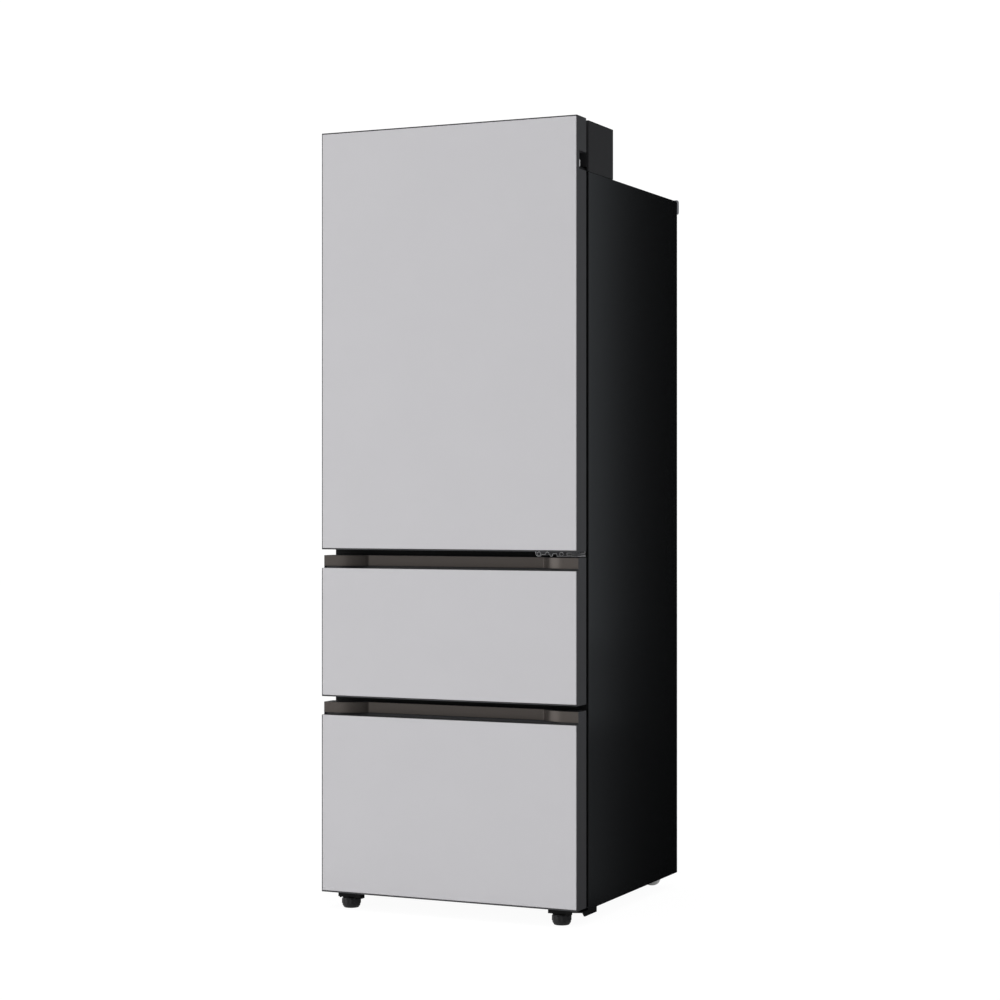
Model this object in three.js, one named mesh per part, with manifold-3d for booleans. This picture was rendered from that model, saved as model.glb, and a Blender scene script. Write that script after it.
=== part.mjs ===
// A free-standing kimchi refrigerator: one hinged door above two drawers.
// Millimetres. x runs to the right, y from the door faces to the back, z up from the floor.
import * as THREE from 'three';
import { mergeVertices } from 'three/addons/utils/BufferGeometryUtils.js';
import Module from 'manifold-3d';

const wasm = await Module();
wasm.setup();

// ---- cabinet ----
const WIDTH = 666;
const CABINET_DEPTH = 593;
const CABINET_HEIGHT = 1711;
const CABINET_BOTTOM = 33.5; // underside above the floor
const STEEL = 1; // bent sheet of the case, back and pan
const SEAT = 0.3; // gap that every piece keeps from the one it sits on
const PAST = 1; // a cutting block runs this far out of the body it cuts
const SINK = 1; // a welded or moulded form reaches this far into the one that carries it
const SIDE_WALL = 57; // outer skin to the inner face of the liner
const CEILING = 50;
const BACK_WALL = 63;
const LINER = 2;
const BACK_PANEL_INSET = 0.5;
const PAN = 2; // sheet of the base pan
const PAN_INSET = 2; // rear edge of the pan before the cabinet's rear
const PLASTIC = 2.5; // wall of moulded covers, bins and baskets
const TOP_COVER_DEPTH = 153.5;
const TOP_COVER_HEIGHT = 118.5;
const TOP_COVER_EDGE = 1; // radius of its long edges
const SPACER_DEPTH = 14; // wall spacers behind the cabinet
const SPACER_WIDTH = 30;
const SPACER_HEIGHT = 36;
const SPACER_RISE = 3.5; // the spacers stand this far over the cabinet's top
const SPACER_CORNER = 7;

// ---- fronts ----
const DOOR_DEPTH = 56; // panel face to the back of the frame
const SEAL_GAP = 14; // back of the frame to the cabinet's face
const FRONT_BOTTOM = 40; // lower edge of the lowest front
const LOWER_PANEL_HEIGHT = 423;
const MIDDLE_PANEL_HEIGHT = 306;
const DOOR_RISE = 121.5; // the upper front stands this far over the cabinet's top
const PANEL = 3; // thickness of the front panels
const PANEL_CHAMFER = 0.8;
const LIP = 3; // frame edge under a panel
const BEZEL = 1.5; // frame edge beside a panel
const UPPER_HEAD = 2.5; // frame edge over the upper panel
const PROUD = 0.5; // the panel stands this far before its bezel
const DOOR_GAP = 14; // between one front and the next
const FRAME_WALL = 8;
const LINER_SHEET = 2; // flange of a front's liner over its frame
const LINER_EDGE = 6; // that flange ends this far inside the frame
const DYKE_CLEARANCE = 12; // raised middle of a liner to the opening round it
const DRAWER_DYKE = 26; // how far that middle of a drawer's liner stands back
const DYKE_TIP = 6; // its face is smaller by this on each side
const DYKE_SHOULDER = { inset: 3, drop: 4 };

// ---- pocket grip over each drawer panel ----
const GROOVE = 5; // panel top to the metal band
const GROOVE_DEPTH = 4; // the wall under the band stands back by this
const GRIP_HEIGHT = 25.5;
const GRIP_SHEET = 2;
const GRIP_SETBACK = 12; // ends of the band behind the panel's face
const GRIP_RECESS = 34; // how much deeper the middle of the band lies
const GRIP_BEND_SIDE = 33; // start of each S bend from the cabinet's side
const GRIP_BEND = 72; // length of each S bend
const GRIP_STEPS = 10; // chords in each S bend
const POCKET_DROP = 28; // finger room behind the panel, under its top edge
const POCKET_FLOOR = 4;

// ---- magnetic seals ----
const SEAL_WIDTH = 18;
const SEAL_INSET = 10; // frame's edge to the seal
const SEAL_MARGIN = 6; // seal to the edge of the opening
const SEAL_FOOT = { start: 4, end: 13, height: 2 };
const SEAL_NECK = { start: 6, end: 10, lean: 1, height: 4 }; // bellows between foot and head
const SEAL_HEAD = { height: 3.5, under: 4, chamfer: 0.8, edge: 1 };

// ---- machine room ----
const ROOM_DEPTH = 186;
const ROOM_HEIGHT = 266;
const ROOM_SIDE = 20; // foam left on the side skins
const ROOM_WALL = 36; // insulated wall over and before it
const COMPRESSOR_RADIUS = 76;
const COMPRESSOR_HEIGHT = 165;
const COMPRESSOR_SIDE = 173; // axis from the cabinet's left side
const COMPRESSOR_BACK = 98; // axis before the cabinet's rear
const COMPRESSOR_LIFT = 12; // shell over the pan
const SHELL_FOOT = [[0, 0], [0.6, 2], [0.88, 14], [1, 34]]; // share of the radius, rise from the bottom
const SHELL_DOME = [[0.97, 42], [0.86, 16], [0.55, 3], [0, 0]]; // share of the radius, drop from the top
const SHELL_SEAM = { share: 0.55, half: 3, proud: 3 }; // welded flange round the shell
const SHELL_WING = { side: 6, half: 52, corner: 14, rise: 3, sheet: 3 };
const GROMMET = { inset: 8, half: 38, sides: 8, profile: [[10, 0], [9, 7], [11, 13], [11, 16]] };
const TERMINAL = { sink: 12, proud: 24, half: 28, low: 48, high: 6 };
const PIPE = { radius: 4, rise: 14, sink: 6, steps: 5, bend: [[0, 0], [14, 2], [20, 12]], reach: 21 };
const PIPES = [{ angle: -0.5, rise: 40 }, { angle: -2.4, rise: 34 }];
const TRAY = { halfX: 100, halfY: 62, height: 26, corner: 12, draft: 3, wall: 2, rim: 2, sides: 3 };
const FAN_SIDE = 307; // condenser fan's rear face from the cabinet's right side
const FAN_BACK = 96; // fan's axis before the cabinet's rear
const FAN_RISE = 96; // fan's axis over the pan
const FAN_BLADES = 7;
const FAN_RADIUS = 62;
const FAN_DEPTH = 22;
const HUB_RADIUS = 16;
const SHAFT_RADIUS = 3;
const MOTOR = { radius: 20, length: 22, sides: 20 };
const BLADE = { half: 0.9, pitch: 38, untwist: 8, chord: 15, spread: 6, sweep: 0.16, lean: 0.8, root: 2 };
const SHROUD = 3; // plate round the condenser fan
const SHROUD_HALF = 82;
const SHROUD_HEIGHT = 190;
const SHROUD_GAP = 6; // fan to the plate
const SHROUD_RING = 3; // opening's edge round the blade tips
const SPOKE = { radius: 2, reach: 5, angles: [0, 60, 120], sides: 6 };
const COIL_TUBE = 4; // radius
const COIL_BEND = [-90, -45, 0, 45, 90];
const FIN_SHARE = [0.25, 0.75]; // groove between two fins, as shares of their step
const CONDENSER_COIL = { depth: 100, passes: 6, pitch: 28, fins: 11, groove: 30 };
const CONDENSER_SIDE = 105; // coil's right end from the cabinet's side
const CONDENSER_LIFT = 8;
const CONDENSER_START = 34; // coil behind the shroud plate
const CONDENSER_FEET = [[-60, -50], [40, 50]]; // two rails under the coil, from its middle
const LOUVRE = { half: 32, height: 6, pitch: 21, rows: 8, rise: 62.5, inner: [263, 183], outer: [103, 183] };
const INLET_SIDE = 83; // mains inlet from the cabinet's right side
const INLET_RISE = 58.5; // and over its underside
const INLET = { bore: 4.5, neck: 6.5, barrel: 10, flange: 14, taper: 8, inside: 12, sheet: 3.5, tip: 12 };

// ---- upper door hinge ----
const HINGE_INSET = 17; // axis from the door's side
const HINGE_SETBACK = 34; // axis behind the door's face
const PIN_RADIUS = 5;
const PIN_CLEARANCE = 0.25;
const PIN_LENGTH = 24;
const PIN_SPARE = 4; // bore deeper than the pin
const HINGE_PLATE = 4;
const ARM_RADIUS = 10; // round end of each hinge plate
const ARM_WIDTH = 40;
const ARM_NECK = 2; // widening of the arm before the cabinet's face
const ARM_RISE = 3; // underside of the top hinge plate over the cabinet
const TOP_HINGE_REACH = 90; // plate behind the cabinet's face
const TOP_HINGE_FOOT = 20; // foot of the plate starts behind the face
const HINGE_SCREWS = { top: [35, 70], middle: [9, 30, 66], inset: 20, radius: 6, head: 3.5, flangeRadius: 3.8 };
const HINGE_HEAD = { radius: 7, height: 3 };
const HINGE_WASHER = 4; // wider than the pin
const MIDDLE_HINGE_REACH = 116; // length of the screw flange across the cabinet's face
const FLANGE_SHEET = 3;
const FLANGE_LOW = 1; // lower edge over the drawer front
const FLANGE_HIGH = 5; // upper edge behind the door
const FLANGE_EDGE = [ // lobed lower edge: places along it and their rise
  [0, 6], [2, 1.8], [6, 0], [13, 0], [16, 3.5], [36, 3.5], [39, 0], [43, 0], [45, 6], [53, 6], [55, 0]];
const NOTCH_HEIGHT = 42;
const NOTCH_WIDTH = 32;
const NOTCH_FRONT = 15;
const NOTCH_FRAME = 4; // the liner keeps this far from the notch
const HINGE_BOSS = 43;
const BOSS = { under: 44, over: 8, foot: 38 }; // solid frame round the notch and over the lower pin

// ---- drawer runners ----
const RUNNER_HEIGHT = 42;
const RUNNER_SHEET = 1.5;
const RUNNER_WIDTH = 12;
const RUNNER_START = 22; // fixed member behind the cabinet's face
const RUNNER_END = 40; // and before the liner's back
const CAGE = 3; // middle member with its ball cages
const HANGER_RISE = 3; // hanger plate over the runner's top
const HANGER = 3.5;
const HANGER_DROP = 3;
const HANGER_SINK = 0.5;
const MOUNT_PLATE = { width: 36, drop: 34, sheet: 2 }; // carrier's plates on the drawer's liner
const BAR = 3; // cross bar between the two arms
const BAR_DROP = 10;
const ARM_SHEET = 2;
const ARM_OPEN = 1; // inner member's flanges past the middle member
const MIDDLE_MEMBER = { start: 8, end: 12 }; // set in from the fixed member's ends
const ARM_START = 3; // inner member behind the fixed member's front
const ARM_END = 4;

// ---- bins and containers ----
const BIN_RIM = 9;
const RIM_THICKNESS = 3;
const RIM_REACH = 1.5; // rim past the bin's front and back
const BIN_CORNER = 18;
const BIN_DRAFT = 4;
const BIN_START = 8; // bin behind the drawer's liner
const BIN_SIDE = 5; // bin inside the hangers
const BIN_REAR = 64.7; // middle bin before the liner's back
const LOWER_BIN_REAR = 25.7; // lower bin before the step over the machine room
const BIN_STEP_RISE = 9; // shallow part of the lower bin over that step
const BIN_STEP_EDGE = 2;
const BIN_TAPER = { foot: 1, step: 0.6 }; // draft left at the step
const BIN_FLOOR_GAP = 8; // under a bin
const BIN_HEAD_ROOM = 40; // over a bin
const CONTAINER_WALL = 2.2;
const CONTAINER_GAP = 3; // from the middle line
const CONTAINER_PLAY = 2; // to the bin's side
const CONTAINER_END = 9; // to the bin's front and back
const CONTAINER_HEIGHT = 186;
const CONTAINER_CORNER = 26;
const CONTAINER_FOOT = [[10, 0], [7, 6]]; // inset and rise of the chamfered foot
const CONTAINER_BODY = 4; // inset of the wall
const CONTAINER_BEAD = [[4, 14], [1.5, 12], [1.5, 9], [4, 7]]; // inset and drop of the bead under the lid
const LID_SHEET = 2.2;
const LID = { skirt: 6, play: 0.05, edge: 1.2, rise: 1 }; // edge over the container's rim
const LID_TOP = { shoulder: 3, ridge: 12, crown: 4, dish: 14, field: 24, floor: 2 }; // rim and dished field

// ---- upper compartment ----
const SHELF_GLASS = 4;
const SHELF_FRONT = 96; // shelf edge behind the cabinet's face
const SHELF_SIDE = 1.5; // glass to the liner's side
const SHELF_BACK = 4; // glass to the evaporator's cover
const SHELF_TRIM = { before: 4, behind: 8, under: 4, over: 5, radius: 3 };
const SHELF_STOP = { depth: 6, height: 9 };
const SHELF_RISE = [250, 510]; // over the compartment's floor
const RIB = 10;
const CONTROL = { half: 150, front: 78, depth: 118, lip: [[6, 17], [12, 19]], back: [20, 14] };
const DOOR_DYKE_DEPTH = 72;
const DYKE_WIDTH = 38;
const DYKE_LIP = { inner: 6, innerTip: 11, outerTip: 10, outer: 5, drop: 5 };
const BASKET_DEPTH = 92;
const BASKET_HEIGHT = 95;
const BASKET_CORNER = 20;
const BASKET_DRAFT = 3;
const BASKET_RIM = 4;
const BASKET_RISE = { lower: 60, upper: 400 }; // over the dyke's lower inside edge
const DUCT_DEPTH = 75; // evaporator cover in front of the liner's back
const DUCT_HALF = 200;
const DUCT_BOTTOM = 32;
const DUCT_HEAD = 94.5; // cover's top under the ceiling
const DUCT_CORNER = 20;
const BLOWER_DROP = 120; // cold air fan's axis under the cover's top
const BLOWER_RADIUS = 56;
const BLOWER_BLADES = 5;
const BLOWER_DEPTH = 20;
const GRILLE = { rows: 4, pitch: 12, half: 3.5 }; // slots before the fan
const INTAKE = { rows: 4, pitch: 14, rise: 30, height: 6, start: 60, end: 160 }; // slots low down
const EVAPORATOR_COIL = { passes: 6, pitch: 27, fins: 15, groove: 18 };
const EVAPORATOR_RISE = 100;
const EVAPORATOR_PLAY = 12; // coil to the liner's back
const BEND_SINK = 1; // return bends start inside the coil's end plate

// ---- feet and rollers ----
const FOOT_RADIUS = 23;
const FOOT_HEIGHT = 24;
const FOOT_INSET = 57; // axis from the cabinet's side
const FOOT_Y = 45;
const KNOB = { flutes: 12, depth: 0.6, points: 4, waist: 0.4, top: 3, sole: 5, taper: 0.6, edge: 1.5, rim: 1 };
const STEM_RADIUS = 7;
const STEM_CLEARANCE = 0.3;
const STEM_TOP = 3; // stem over the cabinet's underside
const BRACKET_PLATE = 3.5;
const LEG = { half: 30, front: 34, back: 53, lip: 2.5, lipDrop: 8.2, weld: 6 };
const LEG_HOOK = { front: 41, length: 15, sheet: 2.5, drop: 11.7 }; // left bracket's turned-down ends
const LEG_FLANGE = { inset: 1, sheet: 3, front: 39, slope: 12, drop: 12.5, corner: 44 }; // right bracket's side
const ROLLER_RADIUS = 25;
const ROLLER_WIDTH = 40;
const ROLLER_CROWN = 13; // the tread falls by this to its sides
const ROLLER_SHARES = [-1, -0.9, -0.7, -0.4, 0, 0.4, 0.7, 0.9, 1];
const ROLLER_SIDES = 28;
const ROLLER_INSET = 59; // middle of the roller from the cabinet's side
const ROLLER_BACK = 27; // axle before the cabinet's rear
const AXLE_RADIUS = 4;
const FORK = 2; // cheek beside the roller
const FORK_SHAPE = { half: 22, low: 17, lowHalf: 10, shoulder: 34, top: 56 };
const ROLLER_SIDE_GAP = 1.5;
const ROLLER_ROUND_GAP = 4;

// ---- places worked out from the sizes ----
const HALF = WIDTH / 2;
const FACE = DOOR_DEPTH + SEAL_GAP; // y of the cabinet's face
const REAR = FACE + CABINET_DEPTH;
const DEPTH = REAR + SPACER_DEPTH;
const TOP = CABINET_BOTTOM + CABINET_HEIGHT;
const FLOOR = CABINET_BOTTOM + PAN + SEAT; // upper side of the pan
const CAVITY_HALF = HALF - SIDE_WALL;
const CAVITY_REAR = REAR - BACK_WALL;
const ROOM_TOP = CABINET_BOTTOM + ROOM_HEIGHT;
const ROOM_FRONT = REAR - ROOM_DEPTH;
const STEP_TOP = ROOM_TOP + ROOM_WALL; // the lower compartment is shallow below this step
const STEP_FRONT = ROOM_FRONT - ROOM_WALL;
const SEAL_REACH = SEAL_INSET + SEAL_WIDTH + SEAL_MARGIN;
const BACKING = DOOR_DEPTH + SEAT + LINER_SHEET; // y of a front liner's flange face
const CAGE_GAP = RUNNER_SHEET + SEAT;
const CORE_FRONT = PANEL + 2 * SEAT; // front face of the foam behind a panel
const GRIP_BEND_OUTER = HALF - GRIP_BEND_SIDE; // the S bends run between these two places
const GRIP_BEND_INNER = GRIP_BEND_OUTER - GRIP_BEND;
const RUNNER_FRONT = FACE + RUNNER_START;
const RUNNER_REAR = CAVITY_REAR - RUNNER_END;
const BIN_FRONT = BACKING + DRAWER_DYKE + BIN_START;
const BIN_BACK = CAVITY_REAR - BIN_REAR;
const BIN_HALF = CAVITY_HALF - SEAT - RUNNER_WIDTH - HANGER - BIN_SIDE;
const HINGE_X = HALF - HINGE_INSET;
const NOTCH_BOTTOM = TOP - SEAT;
const NOTCH_TOP = NOTCH_BOTTOM + NOTCH_HEIGHT;
const ROLLER_X = HALF - ROLLER_INSET;
const ROLLER_Y = REAR - ROLLER_BACK;
const FOOT_X = HALF - FOOT_INSET;
const SCREW_SIDES = 12;

// One front: its panel, its frame and the opening behind it, as heights.
function frontHeights(bottom, panelHeight, head) {
  const panelBottom = bottom + LIP;
  const panelTop = panelBottom + panelHeight;
  const top = panelTop + head;
  return { bottom, panelBottom, panelTop, top, cavityBottom: bottom + SEAL_REACH, cavityTop: top - SEAL_REACH };
}
const lower = frontHeights(FRONT_BOTTOM, LOWER_PANEL_HEIGHT, GROOVE + GRIP_HEIGHT);
const middle = frontHeights(lower.top + DOOR_GAP, MIDDLE_PANEL_HEIGHT, GROOVE + GRIP_HEIGHT);
const UPPER_BOTTOM = middle.top + DOOR_GAP;
const UPPER_PANEL_HEIGHT = TOP + DOOR_RISE - UPPER_HEAD - LIP - UPPER_BOTTOM;
const upper = frontHeights(UPPER_BOTTOM, UPPER_PANEL_HEIGHT, UPPER_HEAD);
upper.cavityTop = TOP - CEILING;

// ---- solid geometry ----
function solid(geometry) {
  const bare = geometry.clone();
  bare.deleteAttribute('normal');
  bare.deleteAttribute('uv');
  const merged = mergeVertices(bare, 1e-4);
  const vertProperties = new Float32Array(merged.attributes.position.array);
  const triVerts = new Uint32Array(merged.index.array);
  return new wasm.Manifold(new wasm.Mesh({ numProp: 3, vertProperties, triVerts }));
}

function surface(shape) {
  const mesh = shape.getMesh();
  const geometry = new THREE.BufferGeometry();
  geometry.setAttribute('position', new THREE.BufferAttribute(mesh.vertProperties, 3));
  geometry.setIndex(new THREE.BufferAttribute(mesh.triVerts, 1));
  geometry.computeVertexNormals();
  return geometry;
}

const join = (first, ...rest) => rest.reduce((whole, next) => whole.add(next), first);
const cut = (first, ...rest) => rest.reduce((whole, next) => whole.subtract(next), first);

function block(x0, x1, y0, y1, z0, z1) {
  const box = new THREE.BoxGeometry(x1 - x0, y1 - y0, z1 - z0);
  return solid(box.translate((x0 + x1) / 2, (y0 + y1) / 2, (z0 + z1) / 2));
}

// An outline pushed along one axis. Its points are (x, y) along z, (x, z) along y, (y, z) along x.
const AXES = {
  z: [new THREE.Vector3(1, 0, 0), new THREE.Vector3(0, 1, 0), new THREE.Vector3(0, 0, 1)],
  y: [new THREE.Vector3(1, 0, 0), new THREE.Vector3(0, 0, 1), new THREE.Vector3(0, -1, 0)],
  x: [new THREE.Vector3(0, 1, 0), new THREE.Vector3(0, 0, 1), new THREE.Vector3(1, 0, 0)],
};
const traced = (points) => new THREE.Shape(points.map(([a, b]) => new THREE.Vector2(a, b)));
function prism(outline, axis, from, to, curveSegments = 6) {
  const shape = Array.isArray(outline) ? traced(outline) : outline;
  const geometry = new THREE.ExtrudeGeometry(shape, { depth: to - from, bevelEnabled: false, curveSegments });
  geometry.applyMatrix4(new THREE.Matrix4().makeBasis(...AXES[axis]));
  const start = new THREE.Vector3();
  start[axis] = axis === 'y' ? to : from;
  return solid(geometry.translate(start.x, start.y, start.z));
}

// A round bar along an axis through the point (a, b) of the plane across it.
function bar(a, b, radius, axis, from, to, sides = 24) {
  const circle = new THREE.Shape().absarc(a, b, radius, 0, Math.PI * 2);
  return prism(circle, axis, from, to, sides / 2);
}

// A turned form about a vertical line, from (radius, height) points that start and end on the axis.
function turned(profile, x, y, segments = 24) {
  const geometry = new THREE.LatheGeometry(profile.map(([r, z]) => new THREE.Vector2(r, z)), segments);
  return solid(geometry.rotateX(Math.PI / 2).translate(x, y, 0));
}

function roundedOutline(a0, a1, b0, b1, radius) {
  const shape = new THREE.Shape();
  shape.absarc(a1 - radius, b0 + radius, radius, -Math.PI / 2, 0);
  shape.absarc(a1 - radius, b1 - radius, radius, 0, Math.PI / 2);
  shape.absarc(a0 + radius, b1 - radius, radius, Math.PI / 2, Math.PI);
  shape.absarc(a0 + radius, b0 + radius, radius, Math.PI, Math.PI * 1.5);
  return shape;
}

// A level loop with rounded corners, for lofted tubs and lids.
function loop(x0, x1, y0, y1, radius, z, steps = 4) {
  const [left, right, near, far] = [x0 + radius, x1 - radius, y0 + radius, y1 - radius];
  const centres = [[right, near], [right, far], [left, far], [left, near]];
  return centres.flatMap(([x, y], corner) => Array.from({ length: steps + 1 }, (_, step) => {
    const angle = (corner - 1 + step / steps) * Math.PI / 2;
    return new THREE.Vector3(x + radius * Math.cos(angle), y + radius * Math.sin(angle), z);
  }));
}

// A closed skin carried from loop to loop, shut over the first and the last one.
function loft(loops) {
  const count = loops[0].length;
  const index = [];
  for (let level = 0; level < loops.length - 1; level++) {
    for (let point = 0; point < count; point++) {
      const next = (point + 1) % count;
      const here = level * count;
      index.push(here + point, here + next, here + count + next);
      index.push(here + point, here + count + next, here + count + point);
    }
  }
  const last = (loops.length - 1) * count;
  const lid = (points) => THREE.ShapeUtils.triangulateShape(points, []);
  for (const [a, b, c] of lid(loops[0])) index.push(a, c, b);
  for (const [a, b, c] of lid(loops.at(-1))) index.push(last + a, last + b, last + c);
  const geometry = new THREE.BufferGeometry().setFromPoints(loops.flat());
  geometry.setIndex(index);
  return solid(geometry);
}

// A closed profile of (inward, back) points carried round a rectangle with mitred corners.
function mitredRing(profile, x0, x1, z0, z1) {
  const corners = [[x0, z0, 1, 1], [x1, z0, -1, 1], [x1, z1, -1, -1], [x0, z1, 1, -1]];
  const points = corners.flatMap(([x, z, inX, inZ]) => profile.map(([inward, back]) => (
    new THREE.Vector3(x + inX * inward, back, z + inZ * inward))));
  const count = profile.length;
  const index = [];
  corners.forEach((_, corner) => profile.forEach((__, point) => {
    const next = (point + 1) % count;
    const here = corner * count;
    const there = ((corner + 1) % corners.length) * count;
    index.push(here + point, there + point, there + next);
    index.push(here + point, there + next, here + next);
  }));
  const geometry = new THREE.BufferGeometry().setFromPoints(points);
  geometry.setIndex(index);
  return solid(geometry);
}

// ---- finishes ----
const finishes = {
  panel: ['#c5c4c7', 0.55, 0],
  frame: ['#3b3b3d', 0.5, 0],
  grip: ['#4d4845', 0.35, 0.8],
  case: ['#1d1e20', 0.22, 0.1],
  black: ['#1a1a1c', 0.6, 0],
  galvanised: ['#9a9da0', 0.45, 0.8],
  foam: ['#e6dcae', 0.95, 0],
  liner: ['#e3e4e6', 0.4, 0],
  seal: ['#4b4c4e', 0.8, 0],
  spacer: ['#5c5d60', 0.7, 0],
  steel: ['#a8abae', 0.3, 0.9],
  copper: ['#a9744f', 0.35, 0.9],
  enamel: ['#151517', 0.4, 0.2],
  glass: ['#cfe0de', 0.08, 0],
  bin: ['#d6d8da', 0.35, 0],
  container: ['#7c4a2c', 0.3, 0],
  lid: ['#c9c1b5', 0.4, 0],
  clear: ['#dfe6ea', 0.15, 0],
  nylon: ['#8d8f92', 0.6, 0],
};

const refrigerator = new THREE.Group();
refrigerator.position.y = -DEPTH / 2;

function add(name, shape, finish) {
  const [color, roughness, metalness] = finishes[finish];
  const mesh = new THREE.Mesh(surface(shape), new THREE.MeshStandardMaterial({ color, roughness, metalness }));
  mesh.name = name;
  refrigerator.add(mesh);
}

const SIDES = { left: -1, right: 1 };
function eachSide(build) {
  for (const [side, sign] of Object.entries(SIDES)) build(side, sign);
}

// A block given by its place on the right, set on either side.
function sideBlock(sign, x0, x1, ...rest) {
  return sign > 0 ? block(x0, x1, ...rest) : block(-x1, -x0, ...rest);
}

// ---- cabinet shell ----
// Bent sheet: two sides, the top and a front face with the cross rails between three openings.
function outerCase() {
  const edge = LINER + SEAT;
  const half = CAVITY_HALF + edge;
  const openings = [lower, middle, upper].map(({ cavityBottom, cavityTop }) => (
    block(-half, half, FACE - PAST, FACE + STEEL + PAST, cavityBottom - edge, cavityTop + edge)));
  const hollow = block(
    -HALF + STEEL, HALF - STEEL, FACE + STEEL, REAR + PAST, CABINET_BOTTOM - PAST, TOP - STEEL);
  return cut(block(-HALF, HALF, FACE, REAR, CABINET_BOTTOM, TOP), hollow, ...openings);
}

function cavity(front, grow) {
  const bottom = front.cavityBottom - grow;
  const top = front.cavityTop + grow;
  const half = CAVITY_HALF + grow;
  const back = CAVITY_REAR + grow;
  const room = block(-half, half, FACE - PAST, back, bottom, top);
  if (front !== lower) return room;
  const step = block(
    -half - PAST, half + PAST, STEP_FRONT + grow, back + PAST, bottom - PAST, STEP_TOP - grow);
  return cut(room, step);
}

function insulation() {
  const skin = STEEL + SEAT;
  const body = block(
    -HALF + skin, HALF - skin, FACE + skin, REAR - BACK_PANEL_INSET - skin, FLOOR, TOP - skin);
  const side = HALF - STEEL - ROOM_SIDE;
  const room = block(-side, side, ROOM_FRONT, REAR, CABINET_BOTTOM, ROOM_TOP);
  return cut(body, room, ...[lower, middle, upper].map((front) => cavity(front, LINER + SEAT)));
}

function backPanel() {
  const half = HALF - STEEL - SEAT;
  const face = REAR - BACK_PANEL_INSET;
  return block(-half, half, face - STEEL, face, ROOM_TOP + SEAT, TOP - STEEL - SEAT);
}

// Rib along one side of the liner that carries a shelf.
function shelfRib(sign, rise) {
  const z = upper.cavityBottom + rise - SEAT;
  const profile = [[0, z - RIB], [RIB, z - RIB / 2], [RIB, z], [-LINER / 2, z], [-LINER / 2, z - RIB]];
  const outline = profile.map(([inward, height]) => [sign * (CAVITY_HALF - inward), height]);
  return prism(outline, 'y', FACE + SHELF_FRONT, CAVITY_REAR - DUCT_DEPTH);
}

// Formed liner: an open-fronted shell, with ribs for the shelves in the upper compartment.
function liner(front) {
  const before = block(-HALF, HALF, FACE + SEAT / 3, REAR, CABINET_BOTTOM, TOP);
  const shell = cut(cavity(front, LINER).intersect(before), cavity(front, 0));
  if (front !== upper) return shell;
  return join(shell, ...SHELF_RISE.flatMap((rise) => [shelfRib(-1, rise), shelfRib(1, rise)]));
}

// ---- base: pan, front leg brackets and roller forks, welded into one ----
function legHooks(sign, top) {
  const { front, length, sheet, drop } = LEG_HOOK;
  return [FOOT_X - LEG.half, FOOT_X + LEG.half - sheet].map((x) => (
    sideBlock(sign, x, x + sheet, front, front + length, top - drop, top - SINK)));
}

function legFlange(top, rear) {
  const { inset, sheet, front, slope, drop } = LEG_FLANGE;
  const side = HALF - inset;
  const skirt = [[front, top - SINK], [front + slope, top - drop], [rear, top - drop], [rear, top - SINK]];
  return prism(skirt, 'x', side - sheet, side);
}

// The left bracket has turned-down ends, the right one a flange along the cabinet's side.
function legBracket(sign) {
  const top = CABINET_BOTTOM - SEAT;
  const inner = FOOT_X - LEG.half;
  const outer = FOOT_X + LEG.half;
  const rear = FACE + LEG.back;
  const side = HALF - LEG_FLANGE.inset;
  const wing = [[outer, LEG.front], [side, LEG_FLANGE.corner], [side, rear]];
  const end = sign > 0 ? wing : [[outer, LEG.front], [outer, rear]];
  const outline = [[inner, LEG.front], ...end, [inner, rear]].map(([x, y]) => [sign * x, y]);
  const plate = prism(outline, 'z', top - BRACKET_PLATE, top);
  const hole = bar(
    sign * FOOT_X, FOOT_Y, STEM_RADIUS + STEM_CLEARANCE, 'z', top - BRACKET_PLATE - PAST, top + PAST);
  const lip = sideBlock(sign, inner, outer, LEG.front, LEG.front + LEG.lip, top - LEG.lipDrop, top - SINK);
  const weld = sideBlock(
    sign, inner, outer, FACE + LEG.weld, rear, top - SINK, CABINET_BOTTOM + SINK);
  const ends = sign > 0 ? [legFlange(top, rear)] : legHooks(sign, top);
  return join(cut(plate, hole), lip, weld, ...ends);
}

function rollerFork(sign) {
  const { half, low, lowHalf, shoulder, top } = FORK_SHAPE;
  const outline = [
    [ROLLER_Y - half, shoulder], [ROLLER_Y - lowHalf, low], [ROLLER_Y + lowHalf, low],
    [ROLLER_Y + half, shoulder], [ROLLER_Y + half, top], [ROLLER_Y - half, top]];
  const reach = ROLLER_WIDTH / 2 + ROLLER_SIDE_GAP;
  const cheeks = [-1, 1].map((face) => {
    const faces = [reach, reach + FORK].map((out) => sign * (ROLLER_X + face * out));
    return prism(outline, 'x', Math.min(...faces), Math.max(...faces));
  });
  const ends = [-1, 1].map((face) => sign * ROLLER_X + face * (reach + FORK));
  return join(...cheeks, bar(ROLLER_Y, ROLLER_RADIUS, AXLE_RADIUS, 'x', ...ends));
}

function basePan() {
  const half = HALF - STEEL - SEAT;
  const plate = block(
    -half, half, FACE + STEEL + SEAT, REAR - PAN_INSET, CABINET_BOTTOM, CABINET_BOTTOM + PAN);
  const across = ROLLER_WIDTH / 2 + ROLLER_SIDE_GAP;
  const along = ROLLER_RADIUS + ROLLER_ROUND_GAP;
  const wells = [-1, 1].map((sign) => sideBlock(
    sign, ROLLER_X - across, ROLLER_X + across, ROLLER_Y - along, ROLLER_Y + along,
    CABINET_BOTTOM - PAST, CABINET_BOTTOM + PAN + PAST));
  return join(cut(plate, ...wells), ...[-1, 1].map(legBracket), ...[-1, 1].map(rollerFork));
}

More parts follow.
